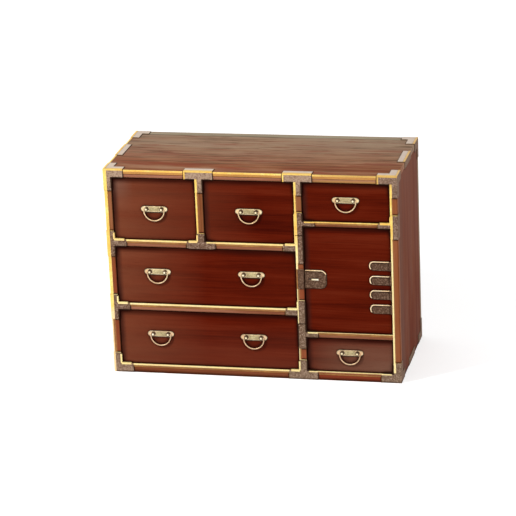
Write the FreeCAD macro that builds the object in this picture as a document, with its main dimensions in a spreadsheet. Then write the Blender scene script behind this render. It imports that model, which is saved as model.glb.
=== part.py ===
import FreeCAD, Part
import Sketcher
import os

# A low Japanese chest (tansu): six drawers and one hinged door in a framed case
# with iron corner plates. Millimetres; X to the right, Y to the back, Z up; the
# origin is on the ground under the middle of the case.

SIZES = {
    # Case
    "case_width": 1000,
    "case_depth": 450,
    "case_height": 730,
    "side_thick": 20,
    "top_thick": 18,
    "base_thick": 18,
    "back_thick": 10,
    "partition_thick": 15,
    "dust_thick": 12,
    # Front frame
    "frame_deep": 20,
    "stile_wide": 25,
    "top_rail_high": 9,
    "left_rail_high": 24,
    "right_upper_rail_high": 17,
    "right_lower_rail_high": 19,
    "bottom_rail_high": 32,
    # Openings of the front frame
    "left_opening_wide": 290,
    "right_opening_wide": 298,
    "top_opening_high": 220,
    "middle_opening_high": 205,
    "right_top_opening_high": 137,
    "door_opening_high": 376,
    # Gilt strips let into the edges of the frame
    "inlay_deep": 2,
    "top_inlay_high": 10,
    "left_inlay_high": 9,
    "right_inlay_high": 6,
    "outer_inlay_wide": 11,
    "inner_inlay_wide": 8,
    # Iron plates
    "plate_thick": 1.5,
    "plate_wrap": 29,
    "edge_plate_long": 123,
    "edge_plate_wrap": 24,
    "lip_thick": 2,
    "lip_deep": 12,
    "lip_short": 7,
    "corner_arm": 42,
    "corner_leg": 47,
    "corner_run": 70,
    "foot_leg": 40,
    "tee_arm": 37,
    "outer_leg_up": 30,
    "outer_leg_down": 37,
    "centre_leg_up": 32,
    "centre_leg_down": 42,
    "rear_arm": 52,
    "rear_leg": 68,
    "rear_run": 78,
    # Running clearances
    "lip_gap": 0.6,
    "run_gap": 0.3,
    "stop_gap": 0.5,
    # Drawers
    "front_recess": 4,
    "front_thick": 18,
    "drawer_side_thick": 10,
    "drawer_side_drop": 8,
    "drawer_bottom_thick": 6,
    "guide_high": 20,
    "runner_wide": 25,
    # Handles
    "grip_plate_wide": 93,
    "grip_plate_high": 21,
    "grip_plate_thick": 1.5,
    "grip_block_wide": 36,
    "post_spacing": 52,
    "post_wall": 2.45,
    "post_shank_radius": 1.8,
    "post_hole_gap": 0.2,
    "post_rivet_radius": 4.5,
    "post_rivet_thick": 1,
    "bail_wire_radius": 2.5,
    "bail_bore_gap": 0.05,
    "bail_stand": 2.5,
    "bail_side_gap": 0.5,
    "bail_inner_bend": 1,
    "bail_leg": 1.5,
    "wide_grip_rise": 13,
    "small_grip_rise": 8,
    # Door
    "door_thick": 18,
    "hinge_gap": 2.5,
    "door_swing_gap": 0.8,
    "strap_long": 71,
    "strap_high": 31,
    "strap_thick": 2,
    "strap_nose": 14,
    "strap_pitch": 51,
    "strap_drop": 22,
    "knuckle_radius": 3,
    "knuckle_bite": 1,
    "knuckle_gap": 0.3,
    "leaf_thick": 1.5,
    "hinge_pin_radius": 1.5,
    "hinge_pin_gap": 0.04,
    # Lock
    "lock_plate_long": 73,
    "lock_plate_high": 64,
    "lock_plate_round": 20,
    "keeper_high": 70,
    "bolt_long": 46,
    "bolt_high": 9,
    "bolt_thick": 5,
    "bolt_travel": 10,
    "bolt_gap": 0.4,
    "thumb_long": 23.5,
    "thumb_high": 5,
    "thumb_proud": 2.5,
    "mortise_spare": 2,
    # Cuts run this far past the solid
    "overrun": 1,
}

# Outline of a handle's plate, as shares of its half width and half height
GRIP_SHOULDER_SHARE = 0.84
GRIP_NECK_SHARE = 0.46
GRIP_NOTCH_SHARE = 0.42
GRIP_LOBE_SHARE = 0.66
GRIP_LOBE_DROP_SHARE = 0.74
GRIP_CHEEK_SHARE = 0.87
# The rounding of a post's head, as a share of the post's radius
POST_DOME_SHARE = 0.6

doc = FreeCAD.newDocument("storage_cabinet")
sheet = doc.addObject("Spreadsheet::Sheet", "sizes")
for row, (alias, value) in enumerate(SIZES.items(), start=1):
    sheet.set(f"A{row}", alias)
    sheet.set(f"B{row}", str(value))
    sheet.setAlias(f"B{row}", alias)
doc.recompute()


# Expressions

def size(name):
    return f"sizes.{name}"


def plus(*terms):
    return "(" + " + ".join(terms) + ")"


def minus(first, *terms):
    return "(" + " - ".join([first, *terms]) + ")"


def half(term):
    return f"({term} / 2)"


def middle(span):
    return half(plus(*span))


def rising(low, *lengths):
    return (low, plus(low, *lengths))


def falling(high, *lengths):
    return (minus(high, *lengths), high)


def centred(centre, length):
    return (minus(centre, half(length)), plus(centre, half(length)))


def grown(span, low="0", high="0"):
    return (minus(span[0], low), plus(span[1], high))


# Spans of the front frame across X

LEFT = f"(-{half(size('case_width'))})"
RIGHT = half(size("case_width"))
STILE_LEFT = rising(LEFT, size("stile_wide"))
OPEN_LEFT = rising(STILE_LEFT[1], size("left_opening_wide"))
STILE_SHORT = rising(OPEN_LEFT[1], size("stile_wide"))
STILE_RIGHT = falling(RIGHT, size("stile_wide"))
OPEN_RIGHT = falling(STILE_RIGHT[0], size("right_opening_wide"))
STILE_CENTRE = falling(OPEN_RIGHT[0], size("stile_wide"))
OPEN_MIDDLE = (STILE_SHORT[1], STILE_CENTRE[0])
LEFT_BAY = (STILE_LEFT[1], STILE_CENTRE[0])

# Spans of the case along Y

FRONT = f"(-{half(size('case_depth'))})"
BACK = half(size("case_depth"))
FRAME = rising(FRONT, size("frame_deep"))
INSIDE = (FRAME[1], minus(BACK, size("back_thick")))
DRAWER_FACE = plus(FRONT, size("front_recess"))

# Spans of the front frame up Z, from the top down; the lowest rows take what is left

TOP = size("case_height")
UNDER_TOP = minus(TOP, size("top_thick"))
TOP_RAIL = falling(UNDER_TOP, size("top_rail_high"))
TOP_BAND = (TOP_RAIL[0], TOP)
TOP_ROW = falling(TOP_RAIL[0], size("top_opening_high"))
RAIL_UPPER = falling(TOP_ROW[0], size("left_rail_high"))
MIDDLE_ROW = falling(RAIL_UPPER[0], size("middle_opening_high"))
RAIL_LOWER = falling(MIDDLE_ROW[0], size("left_rail_high"))
BOTTOM_RAIL = ("0", size("bottom_rail_high"))
BOTTOM_ROW = (BOTTOM_RAIL[1], RAIL_LOWER[0])
RIGHT_TOP_ROW = falling(TOP_RAIL[0], size("right_top_opening_high"))
RAIL_RIGHT_UPPER = falling(RIGHT_TOP_ROW[0], size("right_upper_rail_high"))
DOOR_ROW = falling(RAIL_RIGHT_UPPER[0], size("door_opening_high"))
RAIL_RIGHT_LOWER = falling(DOOR_ROW[0], size("right_lower_rail_high"))
RIGHT_BOTTOM_ROW = (BOTTOM_RAIL[1], RAIL_RIGHT_LOWER[0])

# A drawer clears the lips of the iron plates that line its opening

FACE_GAP = plus(size("lip_thick"), size("lip_gap"))
RUN_LIFT = minus(FACE_GAP, size("run_gap"))

# A handle's bail turns in the eyes of its posts

POST_RADIUS = plus(size("bail_wire_radius"), size("bail_bore_gap"), size("post_wall"))
BAIL_OUT = plus(size("grip_plate_thick"), size("bail_wire_radius"), size("bail_stand"))
BAIL_BEND = plus(size("bail_wire_radius"), size("bail_inner_bend"))
BAIL_CORNER = plus(half(size("post_spacing")), POST_RADIUS, size("bail_side_gap"))
BAIL_HALF = plus(BAIL_CORNER, BAIL_BEND)
BAIL_BOWL = plus(BAIL_BEND, size("bail_leg"))


# Features

def body(label):
    piece = doc.addObject("PartDesign::Body", label)
    piece.Label = label
    return piece


def set_box(feature, x, y, z):
    feature.setExpression("Length", minus(x[1], x[0]))
    feature.setExpression("Width", minus(y[1], y[0]))
    feature.setExpression("Height", minus(z[1], z[0]))
    feature.setExpression("Placement.Base.x", x[0])
    feature.setExpression("Placement.Base.y", y[0])
    feature.setExpression("Placement.Base.z", z[0])


def add_box(piece, name, x, y, z):
    set_box(piece.newObject("PartDesign::AdditiveBox", name), x, y, z)


def cut_box(piece, name, x, y, z):
    set_box(piece.newObject("PartDesign::SubtractiveBox", name), x, y, z)


AXES = {
    "x": FreeCAD.Rotation(FreeCAD.Vector(0, 1, 0), 90),
    "y": FreeCAD.Rotation(FreeCAD.Vector(1, 0, 0), -90),
    "z": FreeCAD.Rotation(),
}


def round_bar(piece, kind, name, axis, radius, length, start):
    bar = piece.newObject(f"PartDesign::{kind}Cylinder", name)
    bar.Placement = FreeCAD.Placement(FreeCAD.Vector(), AXES[axis])
    bar.setExpression("Radius", radius)
    bar.setExpression("Height", length)
    for letter, value in zip("xyz", start):
        bar.setExpression(f"Placement.Base.{letter}", value)


def round_edges(piece, name, radius, edge_is_wanted):
    doc.recompute()
    base = piece.Tip
    edges = enumerate(base.Shape.Edges, start=1)
    wanted = [f"Edge{number}" for number, edge in edges if edge_is_wanted(edge)]
    fillet = piece.newObject("PartDesign::Fillet", name)
    fillet.Base = (base, wanted)
    fillet.setExpression("Radius", radius)


def move_to(piece, x, y, z):
    for letter, value in zip("xyz", (x, y, z)):
        piece.setExpression(f"Placement.Base.{letter}", value)


def group(label, pieces):
    whole = doc.addObject("Part::Compound", label)
    whole.Label = label
    whole.Links = pieces
    return whole


def board(label, x, y, z):
    piece = body(label)
    add_box(piece, f"{label}_blank", x, y, z)
    return piece


nodes = []


def keep(piece):
    nodes.append(piece)
    return piece


# Case boards

def make_case_boards():
    inner_x = (plus(LEFT, size("side_thick")), minus(RIGHT, size("side_thick")))
    depth = (FRAME[1], BACK)
    keep(board("side_board_left", (LEFT, inner_x[0]), depth, ("0", UNDER_TOP)))
    keep(board("side_board_right", (inner_x[1], RIGHT), depth, ("0", UNDER_TOP)))
    keep(board("base_board", inner_x, INSIDE, ("0", size("base_thick"))))
    keep(board("back_board", inner_x, (INSIDE[1], BACK), ("0", UNDER_TOP)))
    top = board("top_board", (LEFT, RIGHT), (FRONT, BACK), (UNDER_TOP, TOP))
    cut_inlay_bed(top, (LEFT, RIGHT), falling(TOP, size("top_inlay_high")))
    keep(top)
    centre = centred(middle(STILE_CENTRE), size("partition_thick"))
    keep(board("centre_partition", centre, INSIDE, (size("base_thick"), UNDER_TOP)))
    short = centred(middle(STILE_SHORT), size("partition_thick"))
    keep(board("short_partition", short, INSIDE, (plus(RAIL_UPPER[1], RUN_LIFT), UNDER_TOP)))
    left_bay = (inner_x[0], centre[0])
    right_bay = (centre[1], inner_x[1])
    dust_boards = []
    for name, rail in (("upper", RAIL_UPPER), ("lower", RAIL_LOWER)):
        track = falling(plus(rail[1], RUN_LIFT), size("dust_thick"))
        dust_boards.append(board(f"dust_board_{name}", left_bay, INSIDE, track))
    keep(group("dust_boards", dust_boards))
    ceiling = falling(plus(RAIL_RIGHT_UPPER[1], RUN_LIFT), size("dust_thick"))
    keep(board("compartment_ceiling", right_bay, INSIDE, ceiling))
    keep(board("compartment_floor", right_bay, INSIDE, falling(RAIL_RIGHT_LOWER[1], size("dust_thick"))))


# Front frame, with a bed cut for each gilt strip

def cut_inlay_bed(piece, x, z):
    cut_box(piece, f"{piece.Name}_bed", x, rising(FRONT, size("inlay_deep")), z)


def make_front_frame():
    stiles = [
        ("stile_left", STILE_LEFT, ("0", UNDER_TOP), size("outer_inlay_wide")),
        ("stile_short", STILE_SHORT, (RAIL_UPPER[1], TOP_RAIL[0]), size("inner_inlay_wide")),
        ("stile_right", STILE_RIGHT, ("0", UNDER_TOP), size("inner_inlay_wide")),
    ]
    for label, x, z, inlay_wide in stiles:
        stile = board(label, x, FRAME, z)
        cut_inlay_bed(stile, rising(x[0], inlay_wide), z)
        keep(stile)
    centre = board("stile_centre", STILE_CENTRE, FRAME, (BOTTOM_RAIL[1], TOP_RAIL[0]))
    cut_inlay_bed(centre, rising(STILE_CENTRE[0], size("inner_inlay_wide")), (BOTTOM_RAIL[1], TOP_RAIL[0]))
    cut_lock_mortise(centre)
    keep(centre)
    keep(board("top_rail", (STILE_LEFT[1], STILE_RIGHT[0]), FRAME, TOP_RAIL))
    rails = [
        ("rail_left_upper", LEFT_BAY, RAIL_UPPER, size("left_inlay_high")),
        ("rail_left_lower", LEFT_BAY, RAIL_LOWER, size("left_inlay_high")),
        ("rail_right_upper", OPEN_RIGHT, RAIL_RIGHT_UPPER, size("right_inlay_high")),
        ("rail_right_lower", OPEN_RIGHT, RAIL_RIGHT_LOWER, size("right_inlay_high")),
    ]
    for label, x, z, inlay_high in rails:
        rail = board(label, x, FRAME, z)
        cut_inlay_bed(rail, x, falling(z[1], inlay_high))
        keep(rail)
    bottom = board("bottom_rail", (STILE_LEFT[1], STILE_RIGHT[0]), FRAME, BOTTOM_RAIL)
    cut_inlay_bed(bottom, (LEFT_BAY[0], STILE_CENTRE[1]), falling(BOTTOM_RAIL[1], size("left_inlay_high")))
    cut_inlay_bed(bottom, OPEN_RIGHT, falling(BOTTOM_RAIL[1], size("right_inlay_high")))
    keep(bottom)


def make_inlays():
    strips = [
        ((LEFT, RIGHT), falling(TOP, size("top_inlay_high"))),
        (rising(STILE_LEFT[0], size("outer_inlay_wide")), ("0", UNDER_TOP)),
        (rising(STILE_SHORT[0], size("inner_inlay_wide")), (RAIL_UPPER[1], TOP_RAIL[0])),
        (rising(STILE_CENTRE[0], size("inner_inlay_wide")), (BOTTOM_RAIL[1], TOP_RAIL[0])),
        (rising(STILE_RIGHT[0], size("inner_inlay_wide")), ("0", UNDER_TOP)),
        (LEFT_BAY, falling(RAIL_UPPER[1], size("left_inlay_high"))),
        (LEFT_BAY, falling(RAIL_LOWER[1], size("left_inlay_high"))),
        (OPEN_RIGHT, falling(RAIL_RIGHT_UPPER[1], size("right_inlay_high"))),
        (OPEN_RIGHT, falling(RAIL_RIGHT_LOWER[1], size("right_inlay_high"))),
        ((LEFT_BAY[0], STILE_CENTRE[1]), falling(BOTTOM_RAIL[1], size("left_inlay_high"))),
        (OPEN_RIGHT, falling(BOTTOM_RAIL[1], size("right_inlay_high"))),
    ]
    depth = rising(FRONT, size("inlay_deep"))
    pieces = [board(f"inlay_{number}", x, depth, z) for number, (x, z) in enumerate(strips, start=1)]
    keep(group("edge_inlays", pieces))


# Strips that carry and guide the drawers, one pair for each drawer

def make_runners():
    side_left = plus(LEFT, size("side_thick"))
    side_right = minus(RIGHT, size("side_thick"))
    short = centred(middle(STILE_SHORT), size("partition_thick"))
    centre = centred(middle(STILE_CENTRE), size("partition_thick"))
    bays = [
        (OPEN_LEFT, (side_left, short[0]), TOP_ROW),
        (OPEN_MIDDLE, (short[1], centre[0]), TOP_ROW),
        (LEFT_BAY, (side_left, centre[0]), MIDDLE_ROW),
        (LEFT_BAY, (side_left, centre[0]), BOTTOM_ROW),
        (OPEN_RIGHT, (centre[1], side_right), RIGHT_TOP_ROW),
        (OPEN_RIGHT, (centre[1], side_right), RIGHT_BOTTOM_ROW),
    ]
    pieces = []
    for number, (opening, walls, row) in enumerate(bays, start=1):
        track = plus(row[0], RUN_LIFT)
        left_guide = (walls[0], plus(opening[0], RUN_LIFT))
        right_guide = (minus(opening[1], RUN_LIFT), walls[1])
        height = rising(track, size("guide_high"))
        if row in (BOTTOM_ROW, RIGHT_BOTTOM_ROW):
            height = (size("base_thick"), height[1])
            under = (size("base_thick"), track)
            left_runner = rising(left_guide[1], size("runner_wide"))
            right_runner = falling(right_guide[0], size("runner_wide"))
            pieces.append(board(f"runner_{number}_left", left_runner, INSIDE, under))
            pieces.append(board(f"runner_{number}_right", right_runner, INSIDE, under))
        pieces.append(board(f"guide_{number}_left", left_guide, INSIDE, height))
        pieces.append(board(f"guide_{number}_right", right_guide, INSIDE, height))
    keep(group("drawer_runners", pieces))


# Iron plates. Each is bent from sheet: a face on the frame, wraps onto the top or
# the side of the case, and a lip on the inner faces of each opening it meets.

FACE = falling(FRONT, size("plate_thick"))
FACE_WRAP = (FACE[0], plus(FRONT, size("plate_wrap")))
FACE_LIP = (FACE[0], plus(FRONT, size("lip_deep")))
LID = rising(TOP, size("plate_thick"))
OUTSIDE = {-1: falling(LEFT, size("plate_thick")), 1: rising(RIGHT, size("plate_thick"))}


def from_outside(side_way, edge, length):
    """The span from the outer face of a side's plate to a length past an edge of the case."""
    if side_way < 0:
        return (OUTSIDE[side_way][0], plus(edge, length))
    return (minus(edge, length), OUTSIDE[side_way][1])


def add_lip(piece, name, corner_x, corner_z, x_way, z_way, x_long, z_long):
    spread = {1: rising, -1: falling}
    flat_x = spread[x_way](corner_x, minus(x_long, size("lip_short")))
    flat_z = spread[z_way](corner_z, size("lip_thick"))
    tall_x = spread[x_way](corner_x, size("lip_thick"))
    tall_z = spread[z_way](corner_z, minus(z_long, size("lip_short")))
    add_box(piece, f"{name}_flat", flat_x, FACE_LIP, flat_z)
    add_box(piece, f"{name}_tall", tall_x, FACE_LIP, tall_z)


def make_front_corner(label, side_way, top_way):
    outside = OUTSIDE[side_way]
    case_edge = LEFT if side_way < 0 else RIGHT
    inner = STILE_LEFT[1] if side_way < 0 else STILE_RIGHT[0]
    wrap_x = from_outside(side_way, case_edge, size("plate_wrap"))
    arm_x = from_outside(side_way, inner, size("corner_arm"))
    stile_x = from_outside(side_way, inner, "0")
    run_y = (FACE[0], plus(FRONT, size("corner_run")))
    piece = body(label)
    if top_way > 0:
        leg = size("corner_leg")
        rail_edge = TOP_RAIL[0]
        leg_z = (minus(rail_edge, leg), LID[1])
        band_z = (rail_edge, LID[1])
        wrap_z = (minus(TOP, size("plate_wrap")), LID[1])
        add_box(piece, f"{label}_lid_front", arm_x, FACE_WRAP, LID)
        add_box(piece, f"{label}_lid_side", wrap_x, run_y, LID)
    else:
        leg = size("foot_leg")
        rail_edge = BOTTOM_RAIL[1]
        leg_z = ("0", plus(rail_edge, leg))
        band_z = ("0", rail_edge)
        wrap_z = ("0", size("plate_wrap"))
    add_box(piece, f"{label}_leg", stile_x, FACE, leg_z)
    add_box(piece, f"{label}_arm", arm_x, FACE, band_z)
    add_box(piece, f"{label}_side_leg", outside, FACE_WRAP, leg_z)
    add_box(piece, f"{label}_side_run", outside, run_y, wrap_z)
    add_lip(piece, f"{label}_lip", inner, rail_edge, -side_way, -top_way, size("corner_arm"), leg)
    return piece


def make_rear_corner(label, side_way, top_way):
    outside = OUTSIDE[side_way]
    case_edge = LEFT if side_way < 0 else RIGHT
    wrap_x = from_outside(side_way, case_edge, size("plate_wrap"))
    arm_x = from_outside(side_way, case_edge, size("rear_arm"))
    rear = rising(BACK, size("plate_thick"))
    wrap_y = (minus(BACK, size("plate_wrap")), rear[1])
    run_y = (minus(BACK, size("rear_run")), rear[1])
    piece = body(label)
    if top_way > 0:
        leg_z = (minus(TOP, size("rear_leg")), LID[1])
        band_z = (minus(TOP, size("plate_wrap")), LID[1])
        add_box(piece, f"{label}_lid_back", arm_x, wrap_y, LID)
        add_box(piece, f"{label}_lid_side", wrap_x, run_y, LID)
    else:
        leg_z = ("0", size("rear_leg"))
        band_z = ("0", size("plate_wrap"))
    add_box(piece, f"{label}_back_leg", wrap_x, rear, leg_z)
    add_box(piece, f"{label}_back_arm", arm_x, rear, band_z)
    add_box(piece, f"{label}_side_leg", outside, wrap_y, leg_z)
    add_box(piece, f"{label}_side_run", outside, run_y, band_z)
    return piece


def make_corner_brackets():
    corners = [("top_left", -1, 1), ("top_right", 1, 1), ("bottom_left", -1, -1), ("bottom_right", 1, -1)]
    fronts = [make_front_corner(f"front_{name}", side, top) for name, side, top in corners]
    rears = [make_rear_corner(f"rear_{name}", side, top) for name, side, top in corners]
    keep(group("front_corner_brackets", fronts))
    keep(group("rear_corner_brackets", rears))


def make_top_tee(label, stile):
    piece = body(label)
    bar = grown(stile, size("tee_arm"), size("tee_arm"))
    add_box(piece, f"{label}_lid", bar, FACE_WRAP, LID)
    add_box(piece, f"{label}_bar", bar, FACE, (TOP_BAND[0], LID[1]))
    add_box(piece, f"{label}_stem", stile, FACE, (minus(TOP_RAIL[0], size("corner_leg")), TOP_BAND[0]))
    add_lip(piece, f"{label}_lip_left", stile[0], TOP_RAIL[0], -1, -1, size("tee_arm"), size("corner_leg"))
    add_lip(piece, f"{label}_lip_right", stile[1], TOP_RAIL[0], 1, -1, size("tee_arm"), size("corner_leg"))
    return piece


def make_foot_tee(label, stile, rail, leg, corners):
    piece = body(label)
    add_box(piece, f"{label}_bar", grown(stile, size("tee_arm"), size("tee_arm")), FACE, rail)
    add_box(piece, f"{label}_stem", stile, FACE, rising(rail[1], leg))
    add_lip(piece, f"{label}_lip_left", stile[0], rail[1], -1, 1, size("tee_arm"), leg)
    add_lip(piece, f"{label}_lip_right", stile[1], rail[1], 1, 1, size("tee_arm"), leg)
    if corners:
        under = falling(rail[0], size("lip_thick"))
        reach = minus(size("tee_arm"), size("lip_short"))
        strip = grown(stile, reach, reach)
        add_box(piece, f"{label}_lip_under", strip, FACE_LIP, under)
    return piece


def make_tee_brackets():
    pieces = [
        make_top_tee("tee_short_top", STILE_SHORT),
        make_top_tee("tee_centre_top", STILE_CENTRE),
        make_foot_tee("tee_short_foot", STILE_SHORT, RAIL_UPPER, size("outer_leg_up"), True),
        make_foot_tee("tee_centre_foot", STILE_CENTRE, BOTTOM_RAIL, size("foot_leg"), False),
    ]
    keep(group("tee_brackets", pieces))


def make_side_tee(label, stile, rail, way, leg_z, wraps):
    piece = body(label)
    edge = stile[1] if way > 0 else stile[0]
    arm = rising(edge, size("corner_arm")) if way > 0 else falling(edge, size("corner_arm"))
    if wraps:
        outside = OUTSIDE[-way]
        stem = from_outside(-way, edge, "0")
        add_box(piece, f"{label}_side", outside, FACE_WRAP, leg_z)
    else:
        stem = stile
    add_box(piece, f"{label}_stem", stem, FACE, leg_z)
    add_box(piece, f"{label}_arm", arm, FACE, rail)
    up_long = minus(leg_z[1], rail[1])
    down_long = minus(rail[0], leg_z[0])
    add_lip(piece, f"{label}_lip_up", edge, rail[1], way, 1, size("corner_arm"), up_long)
    add_lip(piece, f"{label}_lip_down", edge, rail[0], way, -1, size("corner_arm"), down_long)
    return piece


def make_stile_brackets():
    upper_seam = half(plus(RAIL_RIGHT_UPPER[0], RAIL_UPPER[1]))
    lower_seam = half(plus(RAIL_LOWER[0], RAIL_RIGHT_LOWER[1]))
    outer = []
    for label, stile, rail, way in [
        ("tee_left_upper", STILE_LEFT, RAIL_UPPER, 1),
        ("tee_left_lower", STILE_LEFT, RAIL_LOWER, 1),
        ("tee_right_upper", STILE_RIGHT, RAIL_RIGHT_UPPER, -1),
    ]:
        leg_z = grown(rail, size("outer_leg_down"), size("outer_leg_up"))
        outer.append(make_side_tee(label, stile, rail, way, leg_z, True))
    keep(group("outer_stile_brackets", outer))
    centre = []
    up = size("centre_leg_up")
    down = size("centre_leg_down")
    for label, rail, way, leg_z in [
        ("tee_centre_1", RAIL_RIGHT_UPPER, 1, (upper_seam, plus(RAIL_RIGHT_UPPER[1], up))),
        ("tee_centre_2", RAIL_UPPER, -1, (minus(RAIL_UPPER[0], down), upper_seam)),
        ("tee_centre_3", RAIL_LOWER, -1, (lower_seam, plus(RAIL_LOWER[1], up))),
        ("tee_centre_4", RAIL_RIGHT_LOWER, 1, (minus(RAIL_RIGHT_LOWER[0], down), lower_seam)),
    ]:
        centre.append(make_side_tee(label, STILE_CENTRE, rail, way, leg_z, False))
    keep(group("centre_stile_brackets", centre))


def make_edge_plates():
    run = centred("0", size("edge_plate_long"))
    pieces = []
    for name, outside, wrap_x in [
        ("left", OUTSIDE[-1], rising(LEFT, size("edge_plate_wrap"))),
        ("right", OUTSIDE[1], falling(RIGHT, size("edge_plate_wrap"))),
    ]:
        top = body(f"edge_plate_{name}_top")
        add_box(top, f"edge_plate_{name}_lid", wrap_x, run, LID)
        add_box(top, f"edge_plate_{name}_side", outside, run, (minus(TOP, size("edge_plate_wrap")), LID[1]))
        pieces.append(top)
        pieces.append(board(f"edge_plate_{name}_bottom", outside, run, ("0", size("edge_plate_wrap"))))
    keep(group("edge_plates", pieces))


# Handles

def outline(piece, name, points):
    """A closed sketch in the XZ plane whose corners are held at the given expressions."""
    sketch = piece.newObject("Sketcher::SketchObject", name)
    plane = [item for item in piece.Origin.OriginFeatures if item.Role == "XZ_Plane"][0]
    sketch.AttachmentSupport = [(plane, "")]
    sketch.MapMode = "FlatFace"
    places = [FreeCAD.Vector(*[float(sheet.evalExpression(value)) for value in point], 0) for point in points]
    for number, start in enumerate(places):
        sketch.addGeometry(Part.LineSegment(start, places[(number + 1) % len(places)]), False)
    for number in range(len(places)):
        sketch.addConstraint(Sketcher.Constraint("Coincident", number, 2, (number + 1) % len(places), 1))
    for number, (point, place) in enumerate(zip(points, places)):
        for kind, value, now in (("DistanceX", point[0], place.x), ("DistanceY", point[1], place.y)):
            held = sketch.addConstraint(Sketcher.Constraint(kind, -1, 1, number, 1, now))
            sketch.setExpression(f"Constraints[{held}]", value)
    return sketch


def share_of(share, length):
    return f"({share} * {length})"


def make_grip_plate(label):
    """A plate with pointed ends, two lobes and a deeper middle, with a hole for each post."""
    end = half(size("grip_plate_wide"))
    top = half(size("grip_plate_high"))
    block = half(size("grip_block_wide"))
    low = f"(-{top})"
    right = [
        (share_of(GRIP_SHOULDER_SHARE, end), top),
        (end, "0"),
        (share_of(GRIP_CHEEK_SHARE, end), share_of(GRIP_LOBE_DROP_SHARE, low)),
        (share_of(GRIP_LOBE_SHARE, end), share_of(GRIP_LOBE_DROP_SHARE, low)),
        (share_of(GRIP_NECK_SHARE, end), share_of(GRIP_NOTCH_SHARE, low)),
        (block, low),
    ]
    left = [(f"(-{across})", up) for across, up in reversed(right)]
    piece = body(label)
    sketch = outline(piece, f"{label}_outline", right + left)
    pad = piece.newObject("PartDesign::Pad", f"{label}_pad")
    pad.Profile = sketch
    pad.setExpression("Length", size("grip_plate_thick"))
    hole = plus(size("post_shank_radius"), size("post_hole_gap"))
    depth = plus(size("grip_plate_thick"), size("overrun"), size("overrun"))
    for side, across in (("left", f"(-{half(size('post_spacing'))})"), ("right", half(size("post_spacing")))):
        start = (across, f"(-{plus(size('grip_plate_thick'), size('overrun'))})", "0")
        round_bar(piece, "Subtractive", f"{label}_hole_{side}", "y", hole, depth, start)
    return piece


def make_post(label, across):
    """An eye with a domed head, a shank through the drawer's front and a rivet head behind it."""
    piece = body(label)
    eye_front = plus(BAIL_OUT, POST_RADIUS)
    eye_long = minus(eye_front, size("grip_plate_thick"))
    round_bar(piece, "Additive", f"{label}_eye", "y", POST_RADIUS, eye_long, (across, f"(-{eye_front})", "0"))
    dome = share_of(POST_DOME_SHARE, POST_RADIUS)
    round_edges(piece, f"{label}_dome", dome, lambda edge: edge.BoundBox.YMax < edge_middle(piece))
    shank_long = plus(size("grip_plate_thick"), size("front_thick"), size("post_rivet_thick"))
    shank_start = (across, f"(-{size('grip_plate_thick')})", "0")
    round_bar(piece, "Additive", f"{label}_shank", "y", size("post_shank_radius"), shank_long, shank_start)
    rivet_start = (across, size("front_thick"), "0")
    rivet_long = size("post_rivet_thick")
    round_bar(piece, "Additive", f"{label}_rivet", "y", size("post_rivet_radius"), rivet_long, rivet_start)
    bore = plus(size("bail_wire_radius"), size("bail_bore_gap"))
    bore_long = plus(POST_RADIUS, POST_RADIUS, size("overrun"), size("overrun"))
    bore_start = (minus(across, POST_RADIUS, size("overrun")), f"(-{BAIL_OUT})", "0")
    round_bar(piece, "Subtractive", f"{label}_bore", "x", bore, bore_long, bore_start)
    return piece


def edge_middle(piece):
    box = piece.Shape.BoundBox
    return (box.YMin + box.YMax) / 2


def solid(kind, label, rotation, place, sizes):
    """A round solid with its sizes and its place bound to the sheet."""
    piece = doc.addObject(f"Part::{kind}", label)
    piece.Placement = FreeCAD.Placement(FreeCAD.Vector(), rotation)
    for property_name, value in sizes.items():
        piece.setExpression(property_name, value)
    move_to(piece, *place)
    return piece


def make_bail(label, place):
    """A half ring of wire with short legs, bent inwards at the top to turn in the posts."""
    wire = size("bail_wire_radius")
    pin_long = minus(BAIL_CORNER, half(size("post_spacing")), f"(-{POST_RADIUS})")
    ring_down = FreeCAD.Rotation(FreeCAD.Vector(1, 0, 0), -90)
    right_bend = FreeCAD.Rotation(FreeCAD.Vector(1, 0, 0), 90)
    left_bend = FreeCAD.Rotation(FreeCAD.Vector(0, 0, 1), 180).multiply(right_bend)
    low = minus("0", BAIL_BOWL)
    pieces = [
        solid("Cylinder", f"{label}_pin_left", AXES["x"], (f"(-{BAIL_CORNER})", "0", "0"),
              {"Radius": wire, "Height": pin_long}),
        solid("Cylinder", f"{label}_pin_right", AXES["x"], (minus(BAIL_CORNER, pin_long), "0", "0"),
              {"Radius": wire, "Height": pin_long}),
        solid("Torus", f"{label}_bend_left", left_bend, (f"(-{BAIL_CORNER})", "0", f"(-{BAIL_BEND})"),
              {"Radius1": BAIL_BEND, "Radius2": wire, "Angle3": "90"}),
        solid("Torus", f"{label}_bend_right", right_bend, (BAIL_CORNER, "0", f"(-{BAIL_BEND})"),
              {"Radius1": BAIL_BEND, "Radius2": wire, "Angle3": "90"}),
        solid("Cylinder", f"{label}_leg_left", AXES["z"], (f"(-{BAIL_HALF})", "0", low),
              {"Radius": wire, "Height": size("bail_leg")}),
        solid("Cylinder", f"{label}_leg_right", AXES["z"], (BAIL_HALF, "0", low),
              {"Radius": wire, "Height": size("bail_leg")}),
        solid("Torus", f"{label}_bowl", ring_down, ("0", "0", low),
              {"Radius1": BAIL_HALF, "Radius2": wire, "Angle3": "180"}),
    ]
    bail = doc.addObject("Part::MultiFuse", label)
    bail.Label = label
    bail.Shapes = pieces
    bail.Refine = True
    move_to(bail, place[0], minus(place[1], BAIL_OUT), place[2])
    return bail


# Drawers. Each has a front, a box of four boards behind it, and one or two handles.

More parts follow.
